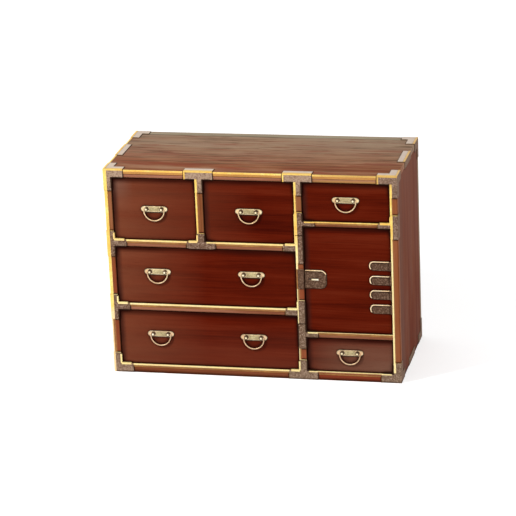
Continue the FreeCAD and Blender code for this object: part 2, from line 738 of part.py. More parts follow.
DRAWERS = {
    "top_left": (OPEN_LEFT, TOP_ROW, [middle(OPEN_LEFT)], "0"),
    "top_middle": (OPEN_MIDDLE, TOP_ROW, [middle(OPEN_MIDDLE)], "0"),
    "middle": (LEFT_BAY, MIDDLE_ROW, [middle(OPEN_LEFT), middle(OPEN_MIDDLE)], size("wide_grip_rise")),
    "bottom": (LEFT_BAY, BOTTOM_ROW, [middle(OPEN_LEFT), middle(OPEN_MIDDLE)], size("wide_grip_rise")),
    "right_top": (OPEN_RIGHT, RIGHT_TOP_ROW, [middle(OPEN_RIGHT)], size("small_grip_rise")),
    "right_bottom": (OPEN_RIGHT, RIGHT_BOTTOM_ROW, [middle(OPEN_RIGHT)], size("small_grip_rise")),
}
HANDS = ["left", "right"]


def make_drawer_front(label, x, z, grip_places):
    face = rising(DRAWER_FACE, size("front_thick"))
    front = board(label, x, face, z)
    hole = plus(size("post_shank_radius"), size("post_hole_gap"))
    hole_long = plus(size("front_thick"), size("overrun"), size("overrun"))
    spread = half(size("post_spacing"))
    for number, (across, _, up) in enumerate(grip_places, start=1):
        for side, hole_x in (("left", minus(across, spread)), ("right", plus(across, spread))):
            start = (hole_x, minus(DRAWER_FACE, size("overrun")), up)
            round_bar(front, "Subtractive", f"{label}_hole_{number}_{side}", "y", hole, hole_long, start)
    return front


def make_drawer_box(label, x, z):
    inner_x = (plus(x[0], size("drawer_side_thick")), minus(x[1], size("drawer_side_thick")))
    depth = (plus(DRAWER_FACE, size("front_thick")), minus(INSIDE[1], size("stop_gap")))
    inner_depth = (depth[0], minus(depth[1], size("drawer_side_thick")))
    side_z = (z[0], minus(z[1], size("drawer_side_drop")))
    return group(label, [
        board(f"{label}_left", (x[0], inner_x[0]), depth, side_z),
        board(f"{label}_right", (inner_x[1], x[1]), depth, side_z),
        board(f"{label}_back", inner_x, (inner_depth[1], depth[1]), side_z),
        board(f"{label}_bottom", inner_x, inner_depth, rising(z[0], size("drawer_bottom_thick"))),
    ])


def make_drawers():
    for name, (opening, row, columns, rise) in DRAWERS.items():
        x = (plus(opening[0], FACE_GAP), minus(opening[1], FACE_GAP))
        z = (plus(row[0], FACE_GAP), minus(row[1], FACE_GAP))
        places = [(column, DRAWER_FACE, plus(middle(row), rise)) for column in columns]
        keep(make_drawer_front(f"drawer_{name}_front", x, z, places))
        keep(make_drawer_box(f"drawer_{name}_box", x, z))
        mounts = []
        for number, place in enumerate(places, start=1):
            label = f"grip_{name}_{number}"
            spread = half(size("post_spacing"))
            plate = make_grip_plate(f"{label}_plate")
            left_post = make_post(f"{label}_post_left", f"(-{spread})")
            right_post = make_post(f"{label}_post_right", spread)
            for piece in (plate, left_post, right_post):
                move_to(piece, *place)
                mounts.append(piece)
        keep(group(f"drawer_{name}_handle_mounts", mounts))
        for number, place in enumerate(places):
            hand = f"_{HANDS[number]}" if len(places) > 1 else ""
            keep(make_bail(f"bail_{name}{hand}", place))


# Door, hinged on its right edge in front of its face

DOOR_X = (plus(OPEN_RIGHT[0], FACE_GAP, size("door_swing_gap")), minus(OPEN_RIGHT[1], size("hinge_gap")))
DOOR_Z = (plus(DOOR_ROW[0], FACE_GAP), minus(DOOR_ROW[1], FACE_GAP))
STRAP_Y = falling(DRAWER_FACE, size("strap_thick"))
HINGE_X = minus(STILE_RIGHT[0], size("knuckle_gap"), size("knuckle_radius"))
HINGE_Y = plus(minus(STRAP_Y[0], size("knuckle_radius")), size("knuckle_bite"))
STRAP_OFFSET_SHARES = (1.5, 0.5, -0.5, -1.5)
LOCK_Z = middle(DOOR_ROW)
BOLT_Y = rising(plus(DRAWER_FACE, size("bolt_gap")), size("bolt_thick"))
BOLT_SPACE_Y = (DRAWER_FACE, plus(BOLT_Y[1], size("bolt_gap")))
BOLT_X = rising(plus(DOOR_X[0], size("bolt_gap")), size("bolt_long"))
BOLT_SPACE_Z = centred(LOCK_Z, plus(size("bolt_high"), size("bolt_gap"), size("bolt_gap")))


def cut_lock_mortise(stile):
    reach = plus(size("bolt_travel"), size("mortise_spare"))
    cut_box(stile, "lock_mortise", (minus(STILE_CENTRE[1], reach), plus(STILE_CENTRE[1], size("overrun"))),
            BOLT_SPACE_Y, BOLT_SPACE_Z)


def make_door_panel():
    panel = board("door_panel", DOOR_X, rising(DRAWER_FACE, size("door_thick")), DOOR_Z)
    cut_box(panel, "bolt_bed", (minus(DOOR_X[0], size("overrun")), plus(BOLT_X[1], size("bolt_gap"))),
            (minus(DRAWER_FACE, size("overrun")), BOLT_SPACE_Y[1]), BOLT_SPACE_Z)
    keep(panel)


def strap_centres():
    centre = minus(middle(DOOR_ROW), size("strap_drop"))
    return [plus(centre, share_of(offset, size("strap_pitch"))) for offset in STRAP_OFFSET_SHARES]


def knuckle_spans(centre):
    """The three knuckles of a hinge, from the lowest up."""
    third = f"({size('strap_high')} / 3)"
    low = minus(centre, half(size("strap_high")))
    gap = size("knuckle_gap")
    return [
        (low, minus(low, f"(-{third})", gap)),
        (plus(low, third), plus(low, third, third)),
        (plus(low, third, third, gap), plus(low, size("strap_high"))),
    ]


def make_strap(label, centre):
    """The door's half of a hinge: a round-nosed strap with an outer pair of knuckles."""
    strap_z = centred(centre, size("strap_high"))
    piece = body(label)
    add_box(piece, f"{label}_blank", (minus(HINGE_X, size("strap_long")), HINGE_X), STRAP_Y, strap_z)
    doc.recompute()
    nose_x = piece.Shape.BoundBox.XMin
    round_edges(piece, f"{label}_nose", size("strap_nose"),
                lambda edge: edge.BoundBox.XMax < nose_x + edge.BoundBox.YLength / 2)
    spans = knuckle_spans(centre)
    for name, span in (("low", spans[0]), ("high", spans[2])):
        round_bar(piece, "Additive", f"{label}_knuckle_{name}", "z", size("knuckle_radius"),
                  minus(span[1], span[0]), (HINGE_X, HINGE_Y, span[0]))
    room = plus(size("knuckle_radius"), size("knuckle_gap"))
    cut_box(piece, f"{label}_notch", (minus(HINGE_X, room), plus(HINGE_X, size("overrun"))),
            grown(STRAP_Y, size("overrun"), size("overrun")), (spans[0][1], spans[2][0]))
    bore = plus(size("hinge_pin_radius"), size("hinge_pin_gap"))
    round_bar(piece, "Subtractive", f"{label}_bore", "z", bore,
              plus(size("strap_high"), size("overrun"), size("overrun")),
              (HINGE_X, HINGE_Y, minus(strap_z[0], size("overrun"))))
    return piece


def make_leaf(label, centre):
    """The case's half of a hinge: a leaf on the stile's inner face with the middle knuckle."""
    strap_z = centred(centre, size("strap_high"))
    knuckle_z = knuckle_spans(centre)[1]
    leaf_x = falling(STILE_RIGHT[0], size("leaf_thick"))
    clear_y = plus(HINGE_Y, size("knuckle_radius"), size("knuckle_gap"))
    piece = body(label)
    add_box(piece, f"{label}_blank", leaf_x, (clear_y, FRAME[1]), strap_z)
    add_box(piece, f"{label}_neck", leaf_x, (HINGE_Y, clear_y), knuckle_z)
    round_bar(piece, "Additive", f"{label}_knuckle", "z", size("knuckle_radius"),
              minus(knuckle_z[1], knuckle_z[0]), (HINGE_X, HINGE_Y, knuckle_z[0]))
    bore = plus(size("hinge_pin_radius"), size("hinge_pin_gap"))
    round_bar(piece, "Subtractive", f"{label}_bore", "z", bore,
              plus(size("strap_high"), size("overrun"), size("overrun")),
              (HINGE_X, HINGE_Y, minus(strap_z[0], size("overrun"))))
    return piece


def make_hinges():
    straps = []
    leaves = []
    for number, centre in enumerate(strap_centres(), start=1):
        straps.append(make_strap(f"strap_{number}", centre))
        leaves.append(make_leaf(f"leaf_{number}", centre))
        pin = body(f"hinge_pin_{number}")
        round_bar(pin, "Additive", f"hinge_pin_{number}_rod", "z", size("hinge_pin_radius"),
                  size("strap_high"), (HINGE_X, HINGE_Y, minus(centre, half(size("strap_high")))))
        leaves.append(pin)
    keep(group("door_hinge_straps", straps))
    keep(group("stile_hinge_leaves_and_pins", leaves))


def make_lock():
    plate_y = falling(DRAWER_FACE, size("plate_thick"))
    plate = board("lock_plate", rising(DOOR_X[0], size("lock_plate_long")), plate_y,
                  centred(LOCK_Z, size("lock_plate_high")))
    doc.recompute()
    nose_x = plate.Shape.BoundBox.XMax
    round_edges(plate, "lock_plate_corners", size("lock_plate_round"),
                lambda edge: edge.BoundBox.XMin > nose_x - edge.BoundBox.YLength / 2)
    thumb_x = falling(minus(BOLT_X[1], size("bolt_gap")), size("thumb_long"))
    slot_x = grown(thumb_x, plus(size("bolt_travel"), size("bolt_gap")), size("bolt_gap"))
    slot_z = centred(LOCK_Z, plus(size("thumb_high"), size("bolt_gap"), size("bolt_gap")))
    cut_box(plate, "lock_slot", slot_x, grown(plate_y, size("overrun"), size("overrun")), slot_z)
    keep(plate)
    bolt = board("lock_bolt", BOLT_X, BOLT_Y, centred(LOCK_Z, size("bolt_high")))
    thumb_y = (minus(plate_y[0], size("thumb_proud")), BOLT_Y[0])
    add_box(bolt, "lock_thumb", thumb_x, thumb_y, centred(LOCK_Z, size("thumb_high")))
    keep(bolt)
    keep(board("keeper_plate", STILE_CENTRE, FACE, centred(LOCK_Z, size("keeper_high"))))


# Build, check and write every piece

make_case_boards()
make_front_frame()
make_inlays()
make_runners()
make_corner_brackets()
make_tee_brackets()
make_stile_brackets()
make_edge_plates()
make_drawers()
make_door_panel()
make_hinges()
make_lock()
doc.recompute()

failed = [item.Label for item in doc.Objects if "Invalid" in item.State or "Error" in item.State]
if failed:
    raise RuntimeError(f"These objects failed to build: {failed}")
os.makedirs("parts", exist_ok=True)
for node in nodes:
    shape = node.Shape
    if shape.isNull() or not shape.isValid() or not shape.Solids:
        raise RuntimeError(f"{node.Label} has no valid solid")
    shape.exportStep(f"parts/{node.Label}.step")
    print(node.Label, len(shape.Solids), round(shape.Volume))
print(len(nodes), "nodes")
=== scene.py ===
import math

import bmesh
import bpy
from mathutils import Matrix, Quaternion, Vector


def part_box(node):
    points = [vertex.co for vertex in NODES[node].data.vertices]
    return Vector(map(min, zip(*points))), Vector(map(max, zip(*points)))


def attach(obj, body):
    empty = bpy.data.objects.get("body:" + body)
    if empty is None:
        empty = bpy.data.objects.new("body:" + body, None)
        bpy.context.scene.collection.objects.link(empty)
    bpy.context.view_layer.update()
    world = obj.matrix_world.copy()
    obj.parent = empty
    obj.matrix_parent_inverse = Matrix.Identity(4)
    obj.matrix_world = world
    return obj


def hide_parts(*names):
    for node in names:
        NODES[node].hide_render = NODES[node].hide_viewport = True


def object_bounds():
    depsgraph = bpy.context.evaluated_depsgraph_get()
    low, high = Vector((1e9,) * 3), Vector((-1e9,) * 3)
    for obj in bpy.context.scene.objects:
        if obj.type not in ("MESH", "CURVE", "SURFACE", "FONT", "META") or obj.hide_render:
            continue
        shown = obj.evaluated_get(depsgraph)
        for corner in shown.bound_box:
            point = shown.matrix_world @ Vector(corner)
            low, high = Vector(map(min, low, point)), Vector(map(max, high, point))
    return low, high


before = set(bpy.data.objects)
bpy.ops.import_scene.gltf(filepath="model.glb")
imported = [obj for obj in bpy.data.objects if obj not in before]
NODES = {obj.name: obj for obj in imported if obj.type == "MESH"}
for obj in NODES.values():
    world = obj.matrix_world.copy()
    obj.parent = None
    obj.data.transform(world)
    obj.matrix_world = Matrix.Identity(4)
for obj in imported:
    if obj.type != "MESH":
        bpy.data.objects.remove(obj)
cad_low, cad_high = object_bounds()
MM = 0.001
X = Vector((1.0, 0.0, 0.0))
Y = Vector((0.0, 1.0, 0.0))
Z = Vector((0.0, 0.0, 1.0))


# Colours, written as they show on a screen, from 0 to 255

def screen(colour):
    """The linear colour that a node takes."""
    linear = []
    for value in colour:
        share = value / 255
        linear.append(share / 12.92 if share <= 0.04045 else ((share + 0.055) / 1.055) ** 2.4)
    return (*linear, 1.0)


def screens(*colours):
    return [screen(colour) for colour in colours]


# Material graphs

# The way, up and to the left, that edges with a painted highlight face
LIT_SIDE = (-0.5, 0.0, 0.87)


class Graph:
    """A material's node graph with a Principled shader at its end."""

    def __init__(self, name):
        self.material = bpy.data.materials.new(name)
        self.material.use_nodes = True
        self.nodes = self.material.node_tree.nodes
        self.links = self.material.node_tree.links
        self.shader = self.nodes["Principled BSDF"]
        self.output = self.nodes["Material Output"]
        self.place = self.add("ShaderNodeTexCoord").outputs["Object"]

    def add(self, kind, inputs=None, **settings):
        node = self.nodes.new(kind)
        for name, value in settings.items():
            setattr(node, name, value)
        for name, value in (inputs or {}).items():
            self.put(node.inputs[name], value)
        return node

    def put(self, socket, value):
        if isinstance(value, bpy.types.NodeSocket):
            self.links.new(value, socket)
        else:
            socket.default_value = value

    def finished(self, looks):
        """The material, once these looks are on its shader."""
        for name, value in looks.items():
            self.put(self.shader.inputs[name], value)
        return self.material

    def maths(self, operation, first, second=0.0):
        return self.add("ShaderNodeMath", {0: first, 1: second}, operation=operation).outputs["Value"]

    def plus(self, first, second):
        return self.maths("ADD", first, second)

    def times(self, first, second):
        return self.maths("MULTIPLY", first, second)

    def vectors(self, operation, first, second, result="Vector"):
        return self.add("ShaderNodeVectorMath", {0: first, 1: second}, operation=operation).outputs[result]

    def stretched(self, scale, place=None):
        return self.vectors("MULTIPLY", place or self.place, scale)

    def noise(self, place, scale, detail=3.0, roughness=0.5, distortion=0.0):
        node = self.add("ShaderNodeTexNoise", {
            "Vector": place, "Scale": scale, "Detail": detail, "Roughness": roughness,
            "Distortion": distortion,
        })
        return node.outputs["Fac"]

    def fit(self, value, low, high, new_low=0.0, new_high=1.0):
        node = self.add("ShaderNodeMapRange", {
            "Value": value, "From Min": low, "From Max": high, "To Min": new_low, "To Max": new_high,
        })
        return node.outputs["Result"]

    def mix(self, share, first, second, kind="RGBA"):
        node = self.add("ShaderNodeMix", {0: share}, data_type=kind)
        ends = [socket for socket in node.inputs if socket.type == kind and socket.name in "AB"]
        self.put(ends[0], first)
        self.put(ends[1], second)
        return next(socket for socket in node.outputs if socket.type == kind)

    def tinted(self, colour, tint, first, second):
        """The colour under a tint that is as strong as two shares multiplied."""
        return self.mix(self.times(first, second), colour, tint)

    def bump(self, height, distance, strength, under=None):
        inputs = {"Height": height, "Distance": distance, "Strength": strength}
        if under:
            inputs["Normal"] = under
        return self.add("ShaderNodeBump", inputs).outputs["Normal"]

    def split(self, vector):
        return tuple(self.add("ShaderNodeSeparateXYZ", {"Vector": vector}).outputs)

    def normal(self):
        return self.add("ShaderNodeNewGeometry").outputs["Normal"]

    def crossed_place(self):
        """The place, with X and Y swapped on faces that look along Y, for boards across the grain."""
        across, depth, height = self.split(self.place)
        swapped = self.add("ShaderNodeCombineXYZ", {"X": depth, "Y": across, "Z": height}).outputs["Vector"]
        facing = self.fit(self.maths("ABSOLUTE", self.split(self.normal())[1]), 0.6, 0.8)
        return self.mix(facing, self.place, swapped, "VECTOR")

    def rounded(self, radius):
        return self.add("ShaderNodeBevel", {"Radius": radius}, samples=4).outputs["Normal"]

    def edge(self, radius):
        """From 0 on a flat to 1 on an edge that is sharper than the radius."""
        return self.fit(self.vectors("DOT_PRODUCT", self.rounded(radius), self.normal(), "Value"), 0.98, 0.75)

    def lit_and_shaded_edges(self, radius):
        """Two masks: edges turned towards the upper left, for a painted highlight, and edges turned down or
        aside, for painted shade.
        """
        turned = self.vectors("SUBTRACT", self.rounded(radius), self.normal())
        turn = self.vectors("DOT_PRODUCT", turned, LIT_SIDE, "Value")
        return self.fit(turn, 0.06, 0.32), self.fit(turn, -0.03, -0.17)

    def crevice(self, reach):
        """From 0 in the open to 1 beside something that stands proud: the mask for painted shade in recesses.
        """
        node = self.add("ShaderNodeAmbientOcclusion", {"Distance": reach}, samples=8)
        return self.fit(node.outputs["AO"], 0.975, 0.76)


# How far painted shade reaches from things that stand proud, on wood and on the plates
SHADE_REACH = 14 * MM
PLATE_SHADE_REACH = 8 * MM
IRON_EDGE = 1.6 * MM
BRASS_EDGE = 1.2 * MM
# The darker colour of iron faces that look sideways: patina, and painted shade
SIDE_PATINA_AND_SHADE = screen((104, 72, 50))
RAW = screen((172, 136, 92))
LID_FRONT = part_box("tee_brackets")[0].y
LID_FADE = (17 * MM, 8 * MM)
THUMB_SHADE = (2.0 * MM, 3.4 * MM)


def wood(name, grain, deep, body, pale, edge, edge_reach=2.0 * MM, edge_share=0.6, lit_and_shaded_share=0.0,
         painted_shade=None, painted_shade_share=0.8, roughness=0.5, specular=0.01, bands=26.0, turned=False, tints=()):
    """Oiled and lacquered wood: broad and fine streaks along the grain, pores, mottling and toned edges."""
    graph = Graph(name)
    deep, body, pale, edge = screens(deep, body, pale, edge)
    chance = graph.add("ShaderNodeObjectInfo").outputs["Random"]
    offset = graph.add("ShaderNodeCombineXYZ", {
        axis: graph.times(chance, reach) for axis, reach in zip("XYZ", (7.0, 13.0, 29.0))
    }).outputs["Vector"]
    place = graph.vectors("ADD", graph.crossed_place() if turned else graph.place, offset)

    def streaks(along, across, *looks):
        scale = tuple(along if axis == grain else across for axis in "xyz")
        return graph.noise(graph.stretched(scale, place), 1.0, *looks)

    broad = streaks(1.1, bands, 3.0, 0.5, 0.35)
    fine = streaks(6.0, 240.0, 3.0, 0.6)
    line = streaks(2.4, 110.0, 2.0)
    pore = streaks(30.0, 950.0, 1.0)
    mottle = streaks(2.2, 6.0, 4.0, 0.6)
    tone = graph.plus(graph.fit(broad, 0.3, 0.7, 0.0, 0.5), graph.fit(fine, 0.3, 0.7, 0.0, 0.22))
    tone = graph.plus(tone, graph.fit(mottle, 0.3, 0.7, 0.0, 0.28))
    colour = graph.mix(graph.fit(tone, 0.15, 0.5), deep, body)
    colour = graph.mix(graph.fit(tone, 0.5, 0.9), colour, pale)
    colour = graph.mix(graph.fit(line, 0.6, 0.72, 0.0, 0.55), colour, deep)
    for tint in tints:
        colour = tint(graph, colour)
    colour = graph.mix(graph.fit(pore, 0.64, 0.76, 0.0, 0.35), colour, deep)
    # Painted shade beside anything that stands proud
    if painted_shade:
        colour = graph.tinted(colour, screen(painted_shade), graph.crevice(SHADE_REACH), painted_shade_share)
    toned = graph.times(graph.edge(edge_reach), edge_share)
    colour = graph.tinted(colour, edge, toned, graph.fit(mottle, 0.3, 0.6, 0.4, 1.0))
    # Painted highlight on edges turned to the upper left, painted shade on edges turned down or aside
    if lit_and_shaded_share:
        lit_edges, shaded_edges = graph.lit_and_shaded_edges(edge_reach)
        colour = graph.tinted(colour, pale, lit_edges, lit_and_shaded_share)
        colour = graph.tinted(colour, edge, shaded_edges, lit_and_shaded_share)
    relief = graph.plus(graph.times(fine, 0.6), graph.times(broad, 0.4))
    return graph.finished({
        "Base Color": colour,
        "Roughness": graph.fit(mottle, 0.3, 0.7, roughness - 0.06, roughness + 0.08),
        "Specular IOR Level": specular,
        "Normal": graph.bump(relief, 0.3 * MM, 0.3),
    })


def raw_wood(name, grain, deep, body, pale, turned=False):
    return wood(name, grain, deep, body, pale, pale, roughness=0.72, specular=0.1, turned=turned)


def raw_back(graph, colour):
    """Bare wood on faces that look to the back."""
    return graph.mix(graph.fit(graph.split(graph.normal())[1], 0.6, 0.8), colour, RAW)


def raw_inside(graph, colour):
    """Bare wood on the side boards' faces that look to the middle."""
    inward = graph.times(graph.split(graph.normal())[0], graph.split(graph.place)[0])
    return graph.mix(graph.fit(inward, -0.2, -0.35), colour, RAW)


def iron(name, dark, pale, speck, dust_and_top_light, highlight, painted_shade, pale_low, pale_high, tints=()):
    """Hammered iron under a warm patina, paler towards the top and the foot of the case, with upward faces
    painted paler as light from above and gold along their front as a painted highlight.
    """
    graph = Graph(name)
    dark, pale, speck, dust_and_top_light, highlight, painted_shade = screens(dark, pale, speck, dust_and_top_light, highlight, painted_shade)
    dents = graph.add("ShaderNodeTexVoronoi", {"Vector": graph.place, "Scale": 190.0}, feature="SMOOTH_F1")
    pits = graph.noise(graph.place, 1300.0, 2.0)
    cloud = graph.noise(graph.place, 45.0, 4.0, 0.6)
    grit = graph.noise(graph.place, 360.0, 3.0, 0.65)
    spots = graph.noise(graph.place, 240.0, 2.0, 0.6)
    depth, height = graph.split(graph.place)[1:]
    # Paler towards the top and the foot of the case
    paler_high_and_low = graph.maths("MAXIMUM", graph.fit(height, pale_high - 0.06, pale_high),
                          graph.fit(height, pale_low + 0.1, pale_low, 0.0, 0.65))
    paler_high_and_low = graph.plus(paler_high_and_low, graph.fit(cloud, 0.3, 0.7, -0.18, 0.18))
    colour = graph.mix(graph.fit(paler_high_and_low, 0.0, 1.0), dark, pale)
    for tint in tints:
        colour = tint(graph, colour)
    for noise, start, end, most, over in (
        (grit, 0.5, 0.68, 0.6, speck),
        (spots, 0.53, 0.64, 0.65, dark),
        (spots, 0.47, 0.36, 0.6, speck),
        (pits, 0.56, 0.7, 0.4, dark),
    ):
        colour = graph.mix(graph.fit(noise, start, end, 0.0, most), colour, over)
    across, away, up = graph.split(graph.normal())
    # Faces that look sideways are darker: patina, and painted shade
    aside = graph.fit(graph.maths("ABSOLUTE", across), 0.6, 0.95, 0.0, 0.65)
    colour = graph.mix(aside, colour, SIDE_PATINA_AND_SHADE)
    # Upward faces take a dust colour that also paints light from above, going gold along the front edge as a
    # painted highlight
    front = graph.fit(depth, LID_FRONT + LID_FADE[0], LID_FRONT + LID_FADE[1])
    lid = graph.tinted(dust_and_top_light, highlight, front, graph.fit(cloud, 0.3, 0.7, 0.7, 1.0))
    colour = graph.tinted(colour, lid, graph.fit(up, 0.6, 0.95), graph.fit(cloud, 0.3, 0.7, 0.8, 1.0))
    # Painted shade beside anything that stands proud and on edges turned down or aside, painted highlight on
    # edges turned to the upper left
    colour = graph.tinted(colour, painted_shade, graph.crevice(PLATE_SHADE_REACH), 0.65)
    lit_edges, shaded_edges = graph.lit_and_shaded_edges(IRON_EDGE)
    colour = graph.tinted(colour, painted_shade, shaded_edges, 0.7)
    relief = graph.bump(dents.outputs["Distance"], 0.5 * MM, 0.45)
    return graph.finished({
        "Base Color": graph.tinted(colour, highlight, lit_edges, 0.6),
        "Metallic": graph.fit(lit_edges, 0.0, 1.0, 0.08, 0.45),
        "Roughness": graph.fit(grit, 0.3, 0.7, 0.5, 0.68),
        "Specular IOR Level": 0.05,
        "Normal": graph.bump(pits, 0.12 * MM, 0.4, relief),
    })


def brass(name, dark, warm, body, pale, tarnish, rough, metallic, tints=()):
    """Brass with warm and pale patches, tarnish in clouds, fine scratches, a painted highlight on edges
    turned to the upper left and painted shade on edges turned down or aside.
    """
    graph = Graph(name)
    dark, warm, body, pale = screens(dark, warm, body, pale)
    cloud = graph.noise(graph.place, 70.0, 4.0, 0.6)
    fine = graph.noise(graph.place, 900.0, 2.0)
    streak = graph.noise(graph.place, 240.0, 5.0, 0.7)
    broad = graph.noise(graph.place, 9.0, 3.0, 0.6)
    colour = graph.mix(graph.fit(cloud, 0.35, 0.65), body, pale)
    colour = graph.mix(graph.fit(broad, 0.42, 0.62, 0.75, 0.0), colour, warm)
    for tint in tints:
        colour = tint(graph, colour)
    colour = graph.mix(graph.fit(streak, 0.52, 0.72, 0.0, tarnish), colour, dark)
    # Painted shade on edges turned down or aside, painted highlight on edges turned to the upper left
    lit_edges, shaded_edges = graph.lit_and_shaded_edges(BRASS_EDGE)
    colour = graph.tinted(colour, dark, shaded_edges, 0.75)
    return graph.finished({
        "Base Color": graph.tinted(colour, pale, lit_edges, 0.7),
        "Metallic": metallic,
        "Roughness": graph.fit(cloud, 0.3, 0.7, rough - 0.06, rough + 0.1),
        "Normal": graph.bump(fine, 0.05 * MM, 0.3),
    })


def bolt_finish(name, dark, body, pale):
    """Dark iron inside the lock, and a thumb piece in front of the plate, with a painted highlight growing to
    its right and painted shade above and below its middle.
    """
    graph = Graph(name)
    dark, body, pale = screens(dark, body, pale)
    fine = graph.noise(graph.place, 700.0, 3.0)
    across, depth, height = graph.split(graph.place)
    low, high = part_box("lock_bolt")
    plate_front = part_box("lock_plate")[0].y
    front = graph.fit(depth, plate_front, plate_front - 0.5 * MM)
    bright = graph.mix(graph.fit(across, low.x, high.x), body, pale)
    bright = graph.mix(graph.fit(fine, 0.45, 0.7, 0.0, 0.4), bright, body)
    from_middle = graph.maths("ABSOLUTE", graph.maths("SUBTRACT", height, (low.z + high.z) / 2))
    bright = graph.mix(graph.fit(from_middle, *THUMB_SHADE, 0.0, 0.8), bright, dark)
    return graph.finished({
        "Base Color": graph.mix(front, dark, bright),
        "Metallic": 0.3,
        "Roughness": graph.fit(fine, 0.3, 0.7, 0.25, 0.4),
        "Normal": graph.bump(fine, 0.05 * MM, 0.3),
    })


# Tints that change a finish from place to place, with their spans in metres

def faded(tint, most, stretch, **spans):
    """A tint that grows from one place to another along one or more axes, in patches along the grain."""

    def fade(graph, colour):
        along = dict(zip("xyz", graph.split(graph.place)))
        patch = graph.noise(graph.stretched(stretch), 1.0, 3.0)
        share = graph.fit(patch, 0.3, 0.7, 0.6 * most, most)
        for axis, (start, end) in spans.items():
            share = graph.times(share, graph.fit(along[axis], start, end))
        return graph.mix(share, colour, screen(tint))

    return fade


def patched(tint, most, stretch, low, high):
    """A tint in loose patches that follow the grain."""

    def patch(graph, colour):
        cloud = graph.noise(graph.stretched(stretch), 1.0, 4.0, 0.6, 0.4)
        return graph.mix(graph.fit(cloud, low, high, 0.0, most), colour, screen(tint))

    return patch


BACK_STRIP = 36 * MM
JOINT_HALF = (3.5 * MM, 2 * MM)
STRIP_WOOD = screen((168, 162, 138))
JOINT_DIRT = screen((70, 60, 46))


def back_strip(graph, colour):
    """A paler strip along the back of the top, with a dark joint that shows in places."""
    across, depth = graph.split(graph.place)[:2]
    joint = cad_high.y - BACK_STRIP
    colour = graph.mix(graph.fit(depth, joint, joint + JOINT_HALF[1], 0.0, 0.5), colour, STRIP_WOOD)
    gap = graph.maths("ABSOLUTE", graph.maths("SUBTRACT", depth, joint))
    shown = graph.fit(graph.noise(graph.stretched((6.0, 0.0, 0.0)), 1.0, 2.0), 0.35, 0.5)
    line = graph.times(graph.fit(gap, *JOINT_HALF, 0.0, 0.8), shown)
    return graph.tinted(colour, JOINT_DIRT, line, graph.fit(across, 0.2, 0.0))


X_GRAIN = (3.0, 5.0, 22.0)
SIDE_GRAIN = (5.0, 12.0, 1.5)
STILE_GRAIN = (20.0, 20.0, 3.0)
SHADE_GRAIN = (4.0, 5.0, 9.0)
METAL_GRAIN = (20.0, 20.0, 20.0)

FRONT_TINTS = (
    faded((112, 54, 34), 0.5, X_GRAIN, x=(0.02, -0.14), z=(0.48, 0.5)),
    # Paler towards the left end: painted light, as from a lamp on the left
    faded((128, 73, 50), 0.85, (2.0, 5.0, 22.0), x=(-0.16, -0.5)),
    faded((112, 62, 46), 0.4, X_GRAIN, z=(0.2, 0.03)),
    faded((118, 78, 60), 0.7, X_GRAIN, x=(0.15, 0.3), z=(0.16, 0.12)),
    faded((124, 86, 70), 0.8, X_GRAIN, x=(0.2, 0.44), z=(0.17, 0.05)),
    # A greyish haze in the upper left: a painted reflection on the lacquer
    faded((124, 106, 94), 0.6, (4.0, 5.0, 20.0), x=(-0.4, -0.48), z=(0.58, 0.7)),
    raw_back,
)
TOP_TINTS = (
    patched((136, 62, 40), 0.55, (3.5, 15.0, 5.0), 0.5, 0.64),
    patched((164, 132, 106), 0.5, (2.5, 13.0, 5.0), 0.52, 0.7),
    faded((160, 146, 124), 0.85, (1.5, 16.0, 5.0), y=(-0.14, 0.2)),
    patched((130, 62, 46), 0.5, (5.0, 45.0, 5.0), 0.53, 0.62),
    patched((86, 62, 46), 0.65, (4.5, 90.0, 5.0), 0.54, 0.62),
    back_strip,
)
SIDE_TINTS = (
    faded((122, 76, 58), 0.7, SIDE_GRAIN, z=(0.2, 0.7)),
    patched((128, 84, 62), 0.5, (5.0, 9.0, 1.6), 0.5, 0.7),
    faded((98, 70, 60), 0.7, SIDE_GRAIN, y=(-0.12, -0.19)),
    faded((170, 158, 134), 0.9, SIDE_GRAIN, y=(0.196, 0.21)),
    raw_inside,
)
RAIL_TINTS = (
    faded((124, 62, 34), 0.8, X_GRAIN, z=(0.06, 0.03)),
    faded((136, 54, 34), 0.75, X_GRAIN, x=(0.1, 0.2), z=(0.06, 0.03)),
    faded((184, 138, 72), 0.8, X_GRAIN, x=(0.14, 0.26), z=(0.69, 0.7)),
)
STILE_TINTS = (
    faded((146, 68, 44), 0.8, STILE_GRAIN, x=(0.3, 0.2), z=(0.46, 0.38)),
    faded((138, 74, 42), 0.75, STILE_GRAIN, x=(0.45, 0.47)),
)
IRON_TINTS = (
    faded((118, 90, 76), 0.9, METAL_GRAIN, x=(0.34, 0.44)),
    faded((100, 74, 62), 0.5, METAL_GRAIN, x=(0.44, 0.46), z=(0.3, 0.5)),
    faded((118, 98, 76), 0.6, METAL_GRAIN, x=(0.06, 0.1), z=(0.3, 0.24)),
)
GILT_TINTS = (
    faded((255, 244, 186), 0.85, METAL_GRAIN, x=(-0.49, -0.488), z=(0.54, 0.44)),
    faded((255, 226, 190), 0.85, METAL_GRAIN, x=(-0.488, -0.489), z=(0.24, 0.22)),
    faded((200, 156, 84), 0.8, METAL_GRAIN, x=(0.16, 0.26), z=(0.69, 0.7)),
)
SHADED_GILT_TINTS = (faded((206, 146, 70), 0.9, METAL_GRAIN, z=(0.69, 0.7)),)
BRASS_TINTS = (faded((214, 170, 138), 0.5, METAL_GRAIN, z=(0.5, 0.25)),)


# Finishes

# The fronts get painted shade beside anything that stands proud, and darkened edges
FRONT_LOOKS = {
    "edge_reach": 5 * MM, "edge_share": 0.7, "painted_shade": (30, 4, 1), "painted_shade_share": 0.9, "specular": 0.02,
}
